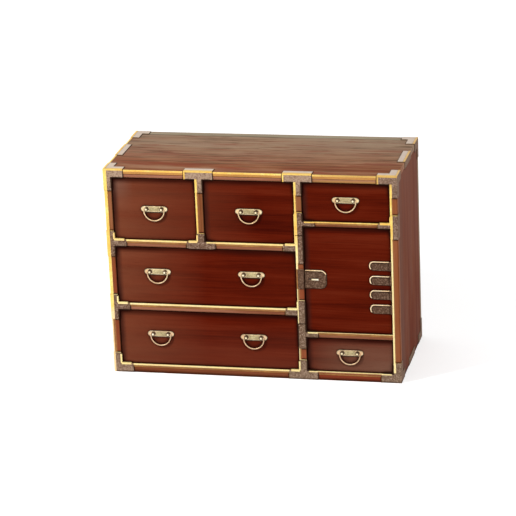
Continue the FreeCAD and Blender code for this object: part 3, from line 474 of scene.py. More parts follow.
# The frame gets painted highlight and shade on its edges, and painted shade beside anything that stands proud
FRAME_LOOKS = {
    "edge_reach": 4 * MM, "edge_share": 0.3, "lit_and_shaded_share": 0.8, "painted_shade": (52, 20, 6), "specular": 0.015,
}
RAIL_WOOD = wood("rail_lacquer", "x", (104, 50, 26), (146, 92, 66), (180, 126, 102), (44, 14, 4),
                 **FRAME_LOOKS, tints=RAIL_TINTS)
STILE_WOOD = wood("stile_lacquer", "z", (106, 54, 28), (144, 90, 56), (172, 116, 82), (50, 18, 6),
                  **FRAME_LOOKS, tints=STILE_TINTS)
# The top's pale edge colour is a painted highlight on its arrises
TOP_WOOD = wood("top_lacquer", "x", (104, 54, 34), (148, 98, 68), (174, 134, 106), (204, 162, 128),
                edge_reach=4 * MM, painted_shade=(52, 34, 22), bands=34.0, tints=TOP_TINTS)
SIDE_WOOD = wood("side_lacquer", "z", (78, 27, 13), (106, 46, 25), (126, 70, 46), (160, 122, 102),
                 painted_shade=(40, 20, 12), specular=0.006, tints=SIDE_TINTS)
INNER_WOOD = raw_wood("inner_wood", "y", (146, 106, 66), (184, 148, 102), (206, 176, 132), turned=True)
INNER_X_WOOD = raw_wood("inner_wood_across", "x", (150, 112, 70), (186, 150, 104), (208, 178, 134))
BACK_WOOD = raw_wood("back_wood", "z", (98, 66, 44), (132, 94, 66), (158, 120, 88))
# Gilt that is also a painted highlight, on the upper and left edges where light from the upper left falls
GILT_AND_HIGHLIGHT = brass("gilt_edge_and_highlight_brass", (150, 96, 30), (240, 184, 74), (250, 208, 98), (255, 230, 136),
             0.45, 0.4, 0.3, GILT_TINTS)
# Darker gilt where the strips turn down or to the right: painted shade
SHADED_GILT = brass("shaded_gilt_brass", (70, 36, 8), (130, 78, 28), (146, 92, 38), (180, 126, 62),
                 0.5, 0.45, 0.3, SHADED_GILT_TINTS)
# The bright beads on the door's straps and lock plate: gilt that is also a painted highlight
BEAD_GILT_AND_HIGHLIGHT = brass("highlight_bead_brass", (170, 120, 70), (244, 202, 146), (252, 218, 168), (255, 242, 210),
                  0.35, 0.4, 0.3)
BRASS = brass("antique_brass", (74, 50, 24), (208, 166, 118), (224, 186, 144), (255, 236, 190),
              0.6, 0.34, 0.45, BRASS_TINTS)
# Pale brass for the handles' covers, with a painted highlight on edges turned to the upper left
PLATE_BRASS = brass("highlight_plate_brass", (104, 72, 40), (226, 190, 134), (240, 214, 164), (255, 244, 206),
                    0.5, 0.4, 0.4, BRASS_TINTS)
# The studs' near-white colour is a painted highlight
STUD_BRASS = brass("bright_stud_brass", (120, 92, 50), (244, 224, 168), (252, 238, 196), (255, 250, 226),
                   0.3, 0.4, 0.3)
# Tarnish on the collars, and painted shadow on the backings, the foot lines and the plain plates behind the
# covers
TARNISH_AND_SHADOW_BRASS = brass("tarnish_and_shadow_brass", (32, 20, 10), (66, 46, 26), (78, 56, 34), (120, 94, 62),
                        0.5, 0.45, 0.4)
BLOCK_BRASS = brass("chased_brass", (48, 36, 18), (138, 116, 72), (174, 154, 106), (236, 220, 170),
                    0.8, 0.42, 0.4)
# In the irons, the paler colour on upward faces is partly painted light, the gold one a painted highlight and
# the darkest one painted shade
IRON = iron("patinated_iron", (98, 70, 54), (172, 144, 122), (190, 164, 142), (214, 197, 182),
            (244, 198, 92), (46, 28, 18), 0.0, 0.7, IRON_TINTS)
DARK_IRON = iron("dark_patinated_iron", (78, 55, 42), (130, 98, 78), (152, 122, 100), (204, 172, 132),
                 (214, 172, 130), (36, 18, 10), 0.15, 0.9)
# Dark iron for seams, and for lines and lips that are painted shadow
SEAM_AND_SHADOW_IRON = iron("seam_and_shadow_iron", (44, 26, 18), (52, 32, 22), (60, 40, 30), (70, 50, 36),
                 (60, 40, 28), (36, 18, 10), 0.15, 0.9)
BOLT = bolt_finish("bolt_iron_and_brass", (52, 34, 24), (206, 166, 60), (255, 250, 232))
METALS = (SHADED_GILT, IRON, DARK_IRON, BRASS, TARNISH_AND_SHADOW_BRASS, BOLT)
SHADE_SPAN = (22 * MM, 8 * MM)


def front_wood(node, *tints):
    """The lacquer of one front, with painted shadow along its left and upper edges, where the frame would
    cast it.
    """
    low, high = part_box(node)
    far, near = SHADE_SPAN
    left = faded((56, 26, 20), 0.9, SHADE_GRAIN, x=(low.x + far, low.x + near))
    upper = faded((46, 10, 4), 1.0, SHADE_GRAIN, z=(high.z - far, high.z - near))
    return wood(f"{node}_lacquer", "x", (62, 8, 1), (91, 22, 5), (109, 38, 18), (30, 4, 1),
                **FRONT_LOOKS, tints=(*tints, left, upper))


FINISHES = {
    "top_board": TOP_WOOD,
    "back_board": BACK_WOOD,
    "base_board": INNER_X_WOOD,
    "dust_boards": INNER_X_WOOD,
    "drawer_runners": INNER_WOOD,
    "edge_inlays": SHADED_GILT,
    "keeper_plate": DARK_IRON,
    "stile_hinge_leaves_and_pins": DARK_IRON,
    "door_panel": front_wood("door_panel"),
    "door_hinge_straps": DARK_IRON,
    "lock_plate": DARK_IRON,
    "lock_bolt": BOLT,
}
for front in NODES:
    if front.endswith("_front"):
        FINISHES[front] = front_wood(front, *FRONT_TINTS)
ENDINGS = {
    "_box": INNER_WOOD, "_partition": INNER_WOOD, "_rail": RAIL_WOOD, "_handle_mounts": TARNISH_AND_SHADOW_BRASS,
    "_brackets": IRON, "_plates": IRON,
}
BEGINNINGS = {
    "side_board_": SIDE_WOOD, "compartment_": INNER_X_WOOD, "stile_": STILE_WOOD, "rail_": RAIL_WOOD,
    "bail_": BRASS,
}
WOOD_BEVEL = 1.2 * MM
METAL_BEVEL = 0.5 * MM
BEVEL_STEPS = 3
BEVEL_OVER = math.radians(40)


def finish_of(name):
    if name in FINISHES:
        return FINISHES[name]
    for ending, material in ENDINGS.items():
        if name.endswith(ending):
            return material
    return next(material for beginning, material in BEGINNINGS.items() if name.startswith(beginning))


def soften(piece, width):
    bevel = piece.modifiers.new("softened_edges", "BEVEL")
    bevel.width = width
    bevel.segments = BEVEL_STEPS
    bevel.limit_method = "ANGLE"
    bevel.angle_limit = BEVEL_OVER


def dress_nodes():
    """Every CAD node gets its finish and softened edges."""
    for name, node in NODES.items():
        material = finish_of(name)
        node.data.materials.clear()
        node.data.materials.append(material)
        soften(node, METAL_BEVEL if material in METALS else WOOD_BEVEL)


# Meshes

HALF_ROUND_STEPS = 8
TURNED_SIDES = 24
WELD = 0.001 * MM


def is_upright(low, high):
    return high.z - low.z > high.x - low.x


def add_box(mesh, low, high):
    centre = (Vector(low) + Vector(high)) / 2
    size = Vector(high) - Vector(low)
    scale = Matrix.Diagonal((*size, 1.0))
    bmesh.ops.create_cube(mesh, size=1.0, matrix=Matrix.Translation(centre) @ scale)


def circle(mesh, centre, radius, first, second, sides):
    """A ring of vertices in the plane of two directions."""
    ring = []
    for step in range(sides):
        turn = math.tau * step / sides
        ring.append(mesh.verts.new(centre + radius * (math.cos(turn) * first + math.sin(turn) * second)))
    return ring


def join_rings(mesh, rings):
    """Faces from each ring of vertices to the next, and over both ends."""
    count = len(rings[0])
    for first, second in zip(rings, rings[1:]):
        for number in range(count):
            following = (number + 1) % count
            mesh.faces.new((first[number], first[following], second[following], second[number]))
    mesh.faces.new(reversed(rings[0]))
    mesh.faces.new(rings[-1])


def add_half_round(mesh, low, high, proud):
    """A half-round bar on a face that looks along -Y; low and high give its ends and the face at high.y."""
    upright = is_upright(low, high)
    ends = (low.z, high.z) if upright else (low.x, high.x)
    near, far = (low.x, high.x) if upright else (low.z, high.z)
    section = []
    for step in range(HALF_ROUND_STEPS + 1):
        turn = math.pi * step / HALF_ROUND_STEPS
        across = (near + far) / 2 + (far - near) / 2 * math.cos(turn)
        section.append((across, high.y - proud * math.sin(turn)))
    section += [(near, high.y + proud), (far, high.y + proud)]
    rings = []
    for along in ends:
        places = [(across, out, along) if upright else (along, out, across) for across, out in section]
        rings.append([mesh.verts.new(place) for place in places])
    join_rings(mesh, rings)


def add_tube(mesh, path, radii, sides):
    """A round tube through points that lie in one XZ plane."""
    rings = []
    for number, (point, radius) in enumerate(zip(path, radii)):
        before = path[max(number - 1, 0)]
        after = path[min(number + 1, len(path) - 1)]
        outward = (after - before).normalized().cross(Y)
        rings.append(circle(mesh, point, radius, outward, Y, sides))
    join_rings(mesh, rings)


def add_wire(mesh, path, radius, sides):
    add_tube(mesh, path, [radius] * len(path), sides)


def add_turned(mesh, profile, place):
    """A shape turned about the Y axis from (distance in front of the place, radius) pairs."""
    join_rings(mesh, [circle(mesh, place - out * Y, radius, X, Z, TURNED_SIDES) for out, radius in profile])


def arc(centre, radius, start, end, steps):
    """Points on an arc in the XZ plane, with angles in degrees from +X towards +Z."""
    points = []
    for number in range(steps + 1):
        turn = math.radians(start + (end - start) * number / steps)
        points.append(centre + radius * Vector((math.cos(turn), 0.0, math.sin(turn))))
    return points


def make_piece(name, mesh, material, body, bevel=0.0, smooth=False):
    bmesh.ops.recalc_face_normals(mesh, faces=mesh.faces)
    data = bpy.data.meshes.new(name)
    mesh.to_mesh(data)
    mesh.free()
    data.materials.append(material)
    if smooth:
        data.shade_smooth()
    piece = bpy.data.objects.new(name, data)
    bpy.context.scene.collection.objects.link(piece)
    if bevel:
        soften(piece, bevel)
    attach(piece, body)
    return piece


def box_of(points):
    """The lowest and the highest corner round some points."""
    low = Vector([min(point[axis] for point in points) for axis in range(3)])
    high = Vector([max(point[axis] for point in points) for axis in range(3)])
    return low, high


def merged_mesh(name):
    """A CAD node's mesh, with the vertices that lie in one place merged."""
    mesh = bmesh.new()
    mesh.from_mesh(NODES[name].data)
    bmesh.ops.remove_doubles(mesh, verts=mesh.verts, dist=WELD)
    mesh.verts.index_update()
    return mesh


def solids_of(name):
    """The box of each separate solid in a CAD node, in order."""
    mesh = merged_mesh(name)
    seen = set()
    boxes = []
    for first in mesh.verts:
        if first.index in seen:
            continue
        seen.add(first.index)
        waiting = [first]
        found = []
        while waiting:
            vert = waiting.pop()
            found.append(vert.co.copy())
            for edge in vert.link_edges:
                other = edge.other_vert(vert)
                if other.index not in seen:
                    seen.add(other.index)
                    waiting.append(other)
        boxes.append(box_of(found))
    mesh.free()
    return sorted(boxes, key=lambda box: tuple(box[0]) + tuple(box[1]))


# Gilt strips that run on over the iron plates, and the lips in the corners of the openings: gilt on the upper
# and left edges that is also a painted highlight, and dark lips of painted shade

BEAD_PROUD = 1.2 * MM
STILE_BEAD_SHARE = 0.74
TOP_BEAD_SHARE = 0.68
RAIL_BEAD_SHARE = 0.72
THIN_BEAD_SHARE = 0.4
GILT_LINE = 4.2 * MM
GILT_LINE_PROUD = 0.3 * MM
TRIM_PROUD = 0.6 * MM
TOP_STRIP = 5 * MM
END_STRIP = 5 * MM
CROSS_STRIP = 1.6 * MM
FOOT_STRIP = 7 * MM
SIDE_STRIP = 6 * MM
LID_SIDE_STRIP = 7 * MM
THROUGH_START = 7 * MM
THROUGH_HIGH = 5 * MM
LIP_THICK = 2 * MM
LIP_COVER = 0.4 * MM
LIP_SHORT = 7 * MM
LIP_SHOWN = 5.3 * MM
LIP_ON_PLATE = 1.2 * MM
LIP_FACE_PROUD = 0.3 * MM
LIP_BEVEL = 0.3 * MM
CORNER_ON_ARM = 5 * MM
CORNER_ON_STILE = 3 * MM

FRONT_PLATES = [
    box
    for group in ("front_corner_brackets", "tee_brackets", "outer_stile_brackets", "centre_stile_brackets")
    for box in solids_of(group)
]
PLATE_FACE = min(low.y for low, high in FRONT_PLATES)
INLAYS = solids_of("edge_inlays")
TOP_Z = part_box("top_board")[1].z
TOP_RAIL_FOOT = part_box("top_rail")[0].z
KEEPER_LOW, KEEPER_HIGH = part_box("keeper_plate")

# The height down to which each stile's strip stays gilt over the plates
GILT_DOWN_TO = {"stile_left": 0.0, "stile_short": 0.6, "stile_centre": 0.202, "stile_right": 0.036}
RIGHTWARDS = 1
LEFTWARDS = -1
UPWARDS = 1
DOWNWARDS = -1
# A lip has a flat and a tall part. A through part carries the rail's strip over the plate.
LIP = ("flat", "tall")
THROUGH = ("through",)
# The lower corners of openings that are gilt: the stile, the rail, where the opening lies and which parts
GILT_CORNERS = [
    ("stile_left", "rail_left_upper", RIGHTWARDS, LIP),
    ("stile_short", "rail_left_upper", LEFTWARDS, LIP),
    ("stile_short", "rail_left_upper", RIGHTWARDS, THROUGH),
    ("stile_centre", "rail_left_upper", LEFTWARDS, LIP),
    ("stile_left", "rail_left_lower", RIGHTWARDS, LIP),
    ("stile_centre", "rail_left_lower", LEFTWARDS, LIP),
    ("stile_left", "bottom_rail", RIGHTWARDS, LIP),
    ("stile_centre", "bottom_rail", LEFTWARDS, LIP),
    ("stile_centre", "rail_right_upper", RIGHTWARDS, THROUGH),
    ("stile_right", "rail_right_upper", LEFTWARDS, LIP),
    ("stile_centre", "rail_right_lower", RIGHTWARDS, THROUGH),
    ("stile_centre", "bottom_rail", RIGHTWARDS, THROUGH),
    ("stile_right", "bottom_rail", LEFTWARDS, THROUGH),
]
# The stiles and rails round each opening: left, right, above and below
OPENINGS = [
    ("stile_left", "stile_short", "top_rail", "rail_left_upper"),
    ("stile_short", "stile_centre", "top_rail", "rail_left_upper"),
    ("stile_left", "stile_centre", "rail_left_upper", "rail_left_lower"),
    ("stile_left", "stile_centre", "rail_left_lower", "bottom_rail"),
    ("stile_centre", "stile_right", "top_rail", "rail_right_upper"),
    ("stile_centre", "stile_right", "rail_right_upper", "rail_right_lower"),
    ("stile_centre", "stile_right", "rail_right_lower", "bottom_rail"),
]


def span(edge, reach):
    return sorted((edge, edge + reach))


def crosses(box, x, z):
    return box[0].x < x < box[1].x and box[0].z < z < box[1].z


def crosses_x(box, low, high):
    return low.x <= (box[0].x + box[1].x) / 2 <= high.x


def inlay_of(stile):
    low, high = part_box(stile)
    return next(box for box in INLAYS if is_upright(*box) and crosses_x(box, low, high))


def plates_on(stile):
    low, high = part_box(stile)
    middle = (low.x + high.x) / 2
    return [box for box in FRONT_PLATES if box[0].x < middle < box[1].x]


def plate_at(stile, rail):
    """The plate that lies over a stile where a rail meets it, or None."""
    stile_low, stile_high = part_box(stile)
    rail_low, rail_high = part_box(rail)
    x = (stile_low.x + stile_high.x) / 2
    z = (rail_low.z + rail_high.z) / 2
    return next((box for box in FRONT_PLATES if crosses(box, x, z)), None)


def add_face_strip(mesh, x, z):
    add_half_round(mesh, Vector((x[0], 0.0, z[0])), Vector((x[1], PLATE_FACE, z[1])), TRIM_PROUD)


def bead_runs():
    """The inlaid strips, cut where the bead on them narrows, with the share of their width that it takes."""
    narrow_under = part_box("rail_left_lower")[0].z
    narrow_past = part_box("stile_centre")[0].x
    for low, high in INLAYS:
        if not is_upright(low, high):
            cut = narrow_past if high.z < narrow_under else high.x
            share = TOP_BEAD_SHARE if low.z > TOP_RAIL_FOOT else RAIL_BEAD_SHARE
            yield low, Vector((cut, high.y, high.z)), share
            if cut < high.x:
                yield Vector((cut, low.y, low.z)), high, THIN_BEAD_SHARE
        elif low.x < cad_low.x + END_STRIP:
            yield Vector((low.x, low.y, narrow_under)), high, 1.0
            yield low, Vector((high.x, high.y, narrow_under)), THIN_BEAD_SHARE
        elif crosses_x((low, high), *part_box("stile_centre")):
            yield Vector((low.x, low.y, KEEPER_HIGH.z)), high, STILE_BEAD_SHARE
            yield low, Vector((high.x, high.y, KEEPER_HIGH.z)), THIN_BEAD_SHARE
        else:
            yield low, high, STILE_BEAD_SHARE


def add_beads(mesh):
    """A half-round bead along the upper or left part of each inlaid strip, with the strip's darker gilt bare
    beside it as painted shade.
    """
    for low, high, share in bead_runs():
        start = low.copy()
        face = Vector((high.x, low.y, high.z))
        if is_upright(low, high):
            face.x = low.x + share * (high.x - low.x)
        else:
            start.z = high.z - share * (high.z - low.z)
        add_half_round(mesh, start, face, BEAD_PROUD)


def make_gilt_lines():
    """A line of darker gilt under each rail's bead as painted shade, and one down the left edge of the keeper
    plate.
    """
    lines = [(KEEPER_LOW, Vector((KEEPER_LOW.x + GILT_LINE, 0.0, KEEPER_HIGH.z)))]
    for low, high in INLAYS:
        if not is_upright(low, high):
            lines.append((low - GILT_LINE * Z, Vector((high.x, 0.0, low.z))))
    mesh = bmesh.new()
    for low, high in lines:
        high.y = low.y + GILT_LINE_PROUD
        add_box(mesh, low - GILT_LINE_PROUD * Y, high)
    make_piece("gilt_lines", mesh, SHADED_GILT, "case")


def add_stile_strips(mesh, stile):
    """The strips that carry a stile's gilt over its plates; the left stile's reach its corner and its top."""
    inlay = inlay_of(stile)
    for low, high in plates_on(stile):
        start = max(low.z, GILT_DOWN_TO[stile])
        left, right, top = inlay[0].x, inlay[1].x, TOP_RAIL_FOOT
        if stile == "stile_left":
            left = low.x
            top = cad_high.z - TOP_STRIP
            if low.z == 0.0:
                right = left + FOOT_STRIP
        if stile == "stile_centre" and high.z < KEEPER_LOW.z:
            right = left + THIN_BEAD_SHARE * (right - left)
        end = min(high.z, top)
        if start < end:
            add_face_strip(mesh, (left, right), (start, end))


def add_top_strips(mesh):
    """Strips along the upper edges of the top's plates, and down the left ends of all but the first."""
    for low, high in FRONT_PLATES:
        if high.z > TOP_Z:
            under = high.z - TOP_STRIP
            add_face_strip(mesh, (low.x, high.x), (under, high.z))
            if low.x > cad_low.x + END_STRIP:
                add_face_strip(mesh, (low.x, low.x + END_STRIP), (TOP_RAIL_FOOT, under))


def add_cross_strips(mesh):
    """A narrow strip across the head of each plate that ends below the top."""
    for stile in GILT_DOWN_TO:
        low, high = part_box(stile)
        for plate_low, plate_high in plates_on(stile):
            foot_right = stile == "stile_right" and plate_low.z == 0.0
            if plate_high.z < TOP_Z and not foot_right:
                add_face_strip(mesh, (low.x, high.x), (plate_high.z - CROSS_STRIP, plate_high.z))


def corner_at(stile, rail, way, rise):
    """A corner of an opening: its edge and level, and how far the plate's arm and leg run from there."""
    stile_low, stile_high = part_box(stile)
    rail_low, rail_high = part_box(rail)
    plate_low, plate_high = plate_at(stile, rail)
    edge = stile_high.x if way > 0 else stile_low.x
    level = rail_high.z if rise > 0 else rail_low.z
    arm = plate_high.x - edge if way > 0 else edge - plate_low.x
    leg = plate_high.z - level if rise > 0 else level - plate_low.z
    return edge, level, arm, leg


def add_corner(mesh, stile, rail, way, parts):
    """The gilt lip in a lower corner of an opening, bright as a painted highlight, with its way along X from
    the stile to the opening.
    """
    edge, rail_top, arm, leg = corner_at(stile, rail, way, UPWARDS)
    shown = PLATE_FACE + LIP_SHOWN
    if "through" in parts:
        x = sorted((edge + way * THROUGH_START, edge + way * arm))
        add_face_strip(mesh, x, (rail_top - THROUGH_HIGH, rail_top))
    if "flat" in parts:
        x = span(edge, way * (arm - LIP_SHORT))
        add_face_strip(mesh, x, (rail_top - CORNER_ON_ARM, rail_top + LIP_THICK))
        add_box(mesh, (x[0], PLATE_FACE, rail_top), (x[1], shown, rail_top + LIP_THICK + LIP_COVER))
    if "tall" in parts:
        z = (rail_top, rail_top + leg - LIP_SHORT)
        add_face_strip(mesh, sorted((edge - way * CORNER_ON_STILE, edge + way * LIP_THICK)), z)
        cover = span(edge, way * (LIP_THICK + LIP_COVER))
        add_box(mesh, (cover[0], PLATE_FACE, z[0]), (cover[1], shown, z[1]))


def add_lip_face(mesh, stile, rail, way, rise, part):
    """The dark face of an iron lip that lines a corner of an opening, dark as painted shade."""
    edge, level, arm, leg = corner_at(stile, rail, way, rise)
    thick = LIP_THICK + LIP_COVER
    if part == "flat":
        x = span(edge, way * (arm - LIP_SHORT))
        z = sorted((level - rise * LIP_ON_PLATE, level + rise * thick))
    else:
        x = sorted((edge - way * LIP_ON_PLATE, edge + way * thick))
        z = span(level, rise * (leg - LIP_SHORT))
    add_box(mesh, (x[0], PLATE_FACE - LIP_FACE_PROUD, z[0]), (x[1], PLATE_FACE + LIP_SHOWN, z[1]))


def make_lip_faces():
    """Dark lips of painted shade in the corners of the openings, wherever no gilt one is."""
    gilt = {(stile, rail, way): parts for stile, rail, way, parts in GILT_CORNERS}
    mesh = bmesh.new()
    for left, right, above, below in OPENINGS:
        for stile, way in ((left, RIGHTWARDS), (right, LEFTWARDS)):
            for rail, rise in ((above, DOWNWARDS), (below, UPWARDS)):
                if not plate_at(stile, rail):
                    continue
                bright = gilt.get((stile, rail, way), ()) if rise == UPWARDS else ()
                for part in LIP:
                    if part not in bright:
                        add_lip_face(mesh, stile, rail, way, rise, part)
    make_piece("lip_faces", mesh, SEAM_AND_SHADOW_IRON, "case", bevel=LIP_BEVEL)


def add_side_strips(mesh):
    """Strips along the ends of the top: over the plates on both, and over the wood on the left."""
    plates = []
    for group in ("front_corner_brackets", "edge_plates", "rear_corner_brackets"):
        plates += [(low.y, high.y) for low, high in solids_of(group) if high.z > TOP_Z and low.x < 0]
    plates.sort()
    wood_spans = [(first[1], second[0]) for first, second in zip(plates, plates[1:])]
    board_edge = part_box("top_board")[0].x
    runs = [(start, end, board_edge, SIDE_STRIP, TOP_Z) for start, end in wood_spans]
    for way in (LEFTWARDS, RIGHTWARDS):
        runs += [(start, end, way * cad_high.x, -way * LID_SIDE_STRIP, cad_high.z) for start, end in plates]
    for start, end, edge, inwards, height in runs:
        x = span(edge, inwards)
        add_box(mesh, (x[0], start, height - TRIM_PROUD), (x[1], end, height + TRIM_PROUD))


# Gilt over the upper and left edges of the plates and in the lower corners: gilt that is also a painted
# highlight
def make_gilt_trims():
    mesh = bmesh.new()
    add_beads(mesh)
    for stile in GILT_DOWN_TO:
        add_stile_strips(mesh, stile)
    add_top_strips(mesh)
    add_cross_strips(mesh)
    for stile, rail, way, parts in GILT_CORNERS:
        add_corner(mesh, stile, rail, way, parts)
    add_side_strips(mesh)
    make_piece("gilt_trims", mesh, GILT_AND_HIGHLIGHT, "case")


# Dark lines round and between the iron plates: painted shadow round them, and a seam where two plates meet

END_LINE = 2.4 * MM
END_LINE_PROUD = 1.4 * MM
LID_LINE = (2.2 * MM, 4.5 * MM)
LID_LINE_PROUD = 0.35 * MM
SEAM = 3 * MM
SEAM_PROUD = 0.8 * MM
WRAPPED_PLATES = (
    "front_corner_brackets", "tee_brackets", "outer_stile_brackets", "edge_plates", "rear_corner_brackets",
)


def face_edges(name, look, reach):
    """The edges round a node's faces that look one way from past the case: start, end and the way out."""
    mesh = merged_mesh(name)
    faces = [face for face in mesh.faces
             if face.normal.dot(look) > 0.99 and face.calc_center_median().dot(look) > reach]
    edges = []
    for face in faces:
        for edge in face.edges:
            if not any(other in faces for other in edge.link_faces if other != face):
                start, end = (vert.co.copy() for vert in edge.verts)
                out = (end - start).normalized().cross(look)
                if out.dot(start - face.calc_center_median()) < 0:
                    out.negate()
                edges.append((start, end, out))
    mesh.free()
    return edges


def add_plate_shadow_lines(mesh, look):
    """Dark lines of painted shadow round the plates on the side of the case that looks one way."""
    case_low, case_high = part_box("top_board")
    case_low.z = 0.0
    reach = max(case_low.dot(look), case_high.dot(look))
    for name in WRAPPED_PLATES:
        for start, end, out in face_edges(name, look, reach):
            middle = (start + end) / 2 + MM * (out - 2 * look)
            if not all(case_low[axis] < middle[axis] < case_high[axis] for axis in range(3)):
                continue
            wide = LID_LINE[1] if abs(out.y) > 0.5 else LID_LINE[0]
            spare = LID_LINE[0] * (end - start).normalized()
            low, high = box_of([start - spare, end + spare, start + wide * out, end + wide * out])
            for axis in range(3):
                low[axis] = max(low[axis], case_low[axis])
                high[axis] = min(high[axis], case_high[axis])
                if look[axis]:
                    low[axis] = reach * look[axis] - LID_LINE_PROUD
                    high[axis] = reach * look[axis] + LID_LINE_PROUD
            add_box(mesh, low, high)


def add_end_lines(mesh):
    """Dark lines of painted shadow on the frame's wood along the ends of the plates' legs and arms."""
    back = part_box("stile_left")[0].y
    front = back - END_LINE_PROUD
    for stile in GILT_DOWN_TO:
        low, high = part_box(stile)
        left = inlay_of(stile)[1].x
        for plate_low, plate_high in plates_on(stile):
            for z in (span(plate_low.z, -END_LINE), span(plate_high.z, END_LINE)):
                covered = any(crosses(box, high.x - MM, sum(z) / 2) for box in FRONT_PLATES)
                if low.z < z[0] and z[1] < high.z and not covered:
                    add_box(mesh, (left, front, z[0]), (high.x, back, z[1]))
    for rail in NODES:
        if rail.startswith("rail_") or rail.endswith("_rail"):
            low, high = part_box(rail)
            inlay_feet = [box[0].z for box in INLAYS if not is_upright(*box) and low.z < box[0].z < high.z]
            top = TOP_Z if rail == "top_rail" else inlay_feet[0]
            for plate_low, plate_high in FRONT_PLATES:
                if plate_low.z < (low.z + high.z) / 2 < plate_high.z:
                    for x in (span(plate_low.x, -END_LINE), span(plate_high.x, END_LINE)):
                        if low.x < x[0] and x[1] < high.x:
                            add_box(mesh, (x[0], front, low.z), (x[1], back, top))


def make_plate_seam_and_shadow_lines():
    """Dark lines where two plates of the centre stile meet, and lines of painted shadow at the plates' ends
    and round them.
    """
    mesh = bmesh.new()
    low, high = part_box("stile_centre")
    for right, left in (("rail_right_upper", "rail_left_upper"), ("rail_right_lower", "rail_left_lower")):
        ends = sorted(corner.z for rail in (right, left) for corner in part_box(rail))
        seam = (ends[1] + ends[2]) / 2
        start = Vector((low.x, PLATE_FACE, seam - SEAM / 2))
        end = Vector((high.x, PLATE_FACE, seam + SEAM / 2))
        add_half_round(mesh, start, end, SEAM_PROUD)
    for look in (Z, X, -X):
        add_plate_shadow_lines(mesh, look)
    add_end_lines(mesh)
    make_piece("plate_seams", mesh, SEAM_AND_SHADOW_IRON, "case")


# Handles

BAIL_PIN_RADIUS = 1.7 * MM
BAIL_RADIUS = 2.1 * MM
BAIL_STEPS = 44
BAIL_SIDES = 16
BEND_RADIUS = 3.5 * MM
BEND_STEPS = 6
PIN_START = 22 * MM
WIRE = 2.5 * MM
POST_ACROSS = 26 * MM
POST_REACH = 11.5 * MM
STUD_RADIUS = 3.8 * MM
STUD_RISE = 0.4 * MM
STUD_DOME = 1.6 * MM
STUD_STEPS = 6
STUD_TURN = 15
PLATE_THICK = 1.5 * MM
COVER_HALF = (44.8 * MM, 9.2 * MM)
COVER_END = 14 * MM
COVER_STEPS = 12
COVER_PROUD = 0.4 * MM
RIM_RADIUS = 0.7 * MM
RIM_SIDES = 8
# A dark backing dropped a little below the cover, and a dark line under it: painted shadow
BACKING = 2.2 * MM
BACKING_DROP = 0.9 * MM
FOOT_LINE = (25 * MM, 3.8 * MM)
BLOCK_HALF = (17.5 * MM, 7.4 * MM)
BLOCK_PROUD = 1.4 * MM
BLOCK_RIM = 1.5 * MM
RIDGE = 0.9 * MM
RIDGE_PROUD = 0.5 * MM
RIDGE_LEAN = math.radians(18)
RIDGES = 11
HANDLE_BEVEL = 0.25 * MM
# The collar at a post's foot and the washer under its cap: distance in front of the drawer, and radius
COLLAR = ((1.3 * MM, 7.8 * MM), (2.3 * MM, 7.8 * MM), (2.9 * MM, 7.0 * MM), (3.1 * MM, 5.0 * MM))
WASHER = ((10.3 * MM, 6.2 * MM), (11.6 * MM, 6.2 * MM), (12.0 * MM, 3.8 * MM))
HANDLE_LOOKS = {
    "covers": PLATE_BRASS, "collars": TARNISH_AND_SHADOW_BRASS, "studs": STUD_BRASS, "blocks": BLOCK_BRASS,
}


def bail_places():
    """The middle of each bail's axis, by the bail's name."""
    places = {}
    for name in NODES:
        if name.startswith("bail_"):
            low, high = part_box(name)
            places[name] = Vector(((low.x + high.x) / 2, (low.y + high.y) / 2, high.z - WIRE))
    return places


def make_bail(name, place):
    """A ring of wire that thickens towards the bottom, with its ends turned in to the posts."""
    low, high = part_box(name)
    half = (high.x - low.x) / 2 - WIRE
    drop = place.z - low.z
    bowl = drop - WIRE - half
    bend = Vector((half - BEND_RADIUS, 0.0, BEND_RADIUS))
    path = [place - PIN_START * X]
    path += arc(place - bend, BEND_RADIUS, 90, 180, BEND_STEPS)
    path += arc(place - bowl * Z, half, 180, 360, BAIL_STEPS)
    path += arc(place + Vector((bend.x, 0.0, -bend.z)), BEND_RADIUS, 0, 90, BEND_STEPS)
    path += [place + PIN_START * X]
    radii = []
    for point in path:
        share = min(max((place.z - point.z) / drop, 0.0), 1.0)
        radii.append(BAIL_PIN_RADIUS + (BAIL_RADIUS - BAIL_PIN_RADIUS) * math.sqrt(share))
    mesh = bmesh.new()
    add_tube(mesh, path, radii, BAIL_SIDES)
    ring = make_piece(f"{name}_ring", mesh, BRASS, name, smooth=True)
    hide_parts(name)


def add_studs(studs, collars, place, face):
    """Caps made bright as a painted highlight, and dark collars, on the two posts of a handle."""
    cap = [(POST_REACH, STUD_RADIUS)]
    for step in range(STUD_STEPS):
        turn = math.radians(STUD_TURN * step)
        cap.append((POST_REACH + STUD_RISE + STUD_DOME * math.sin(turn), STUD_RADIUS * math.cos(turn)))
    for across in (-POST_ACROSS, POST_ACROSS):
        foot = Vector((place.x + across, face, place.z))
        add_turned(collars, COLLAR, foot)
        add_turned(collars, WASHER, foot)
        add_turned(studs, cap, foot)


def add_plate(mesh, centre, wide, high, face):
    """A plate with rounded ends, from its front's centre back to the drawer's face; returns its outline."""
    outline = []
    for way in (RIGHTWARDS, LEFTWARDS):
        for step in range(COVER_STEPS + 1):
            turn = math.radians(90 - 180 * step / COVER_STEPS)
            across = wide - COVER_END + COVER_END * math.cos(turn)
            outline.append(centre + way * Vector((across, 0.0, high * math.sin(turn))))
    join_rings(mesh, [
        [mesh.verts.new((point.x, depth, point.z)) for point in outline] for depth in (centre.y, face)
    ])
    return outline


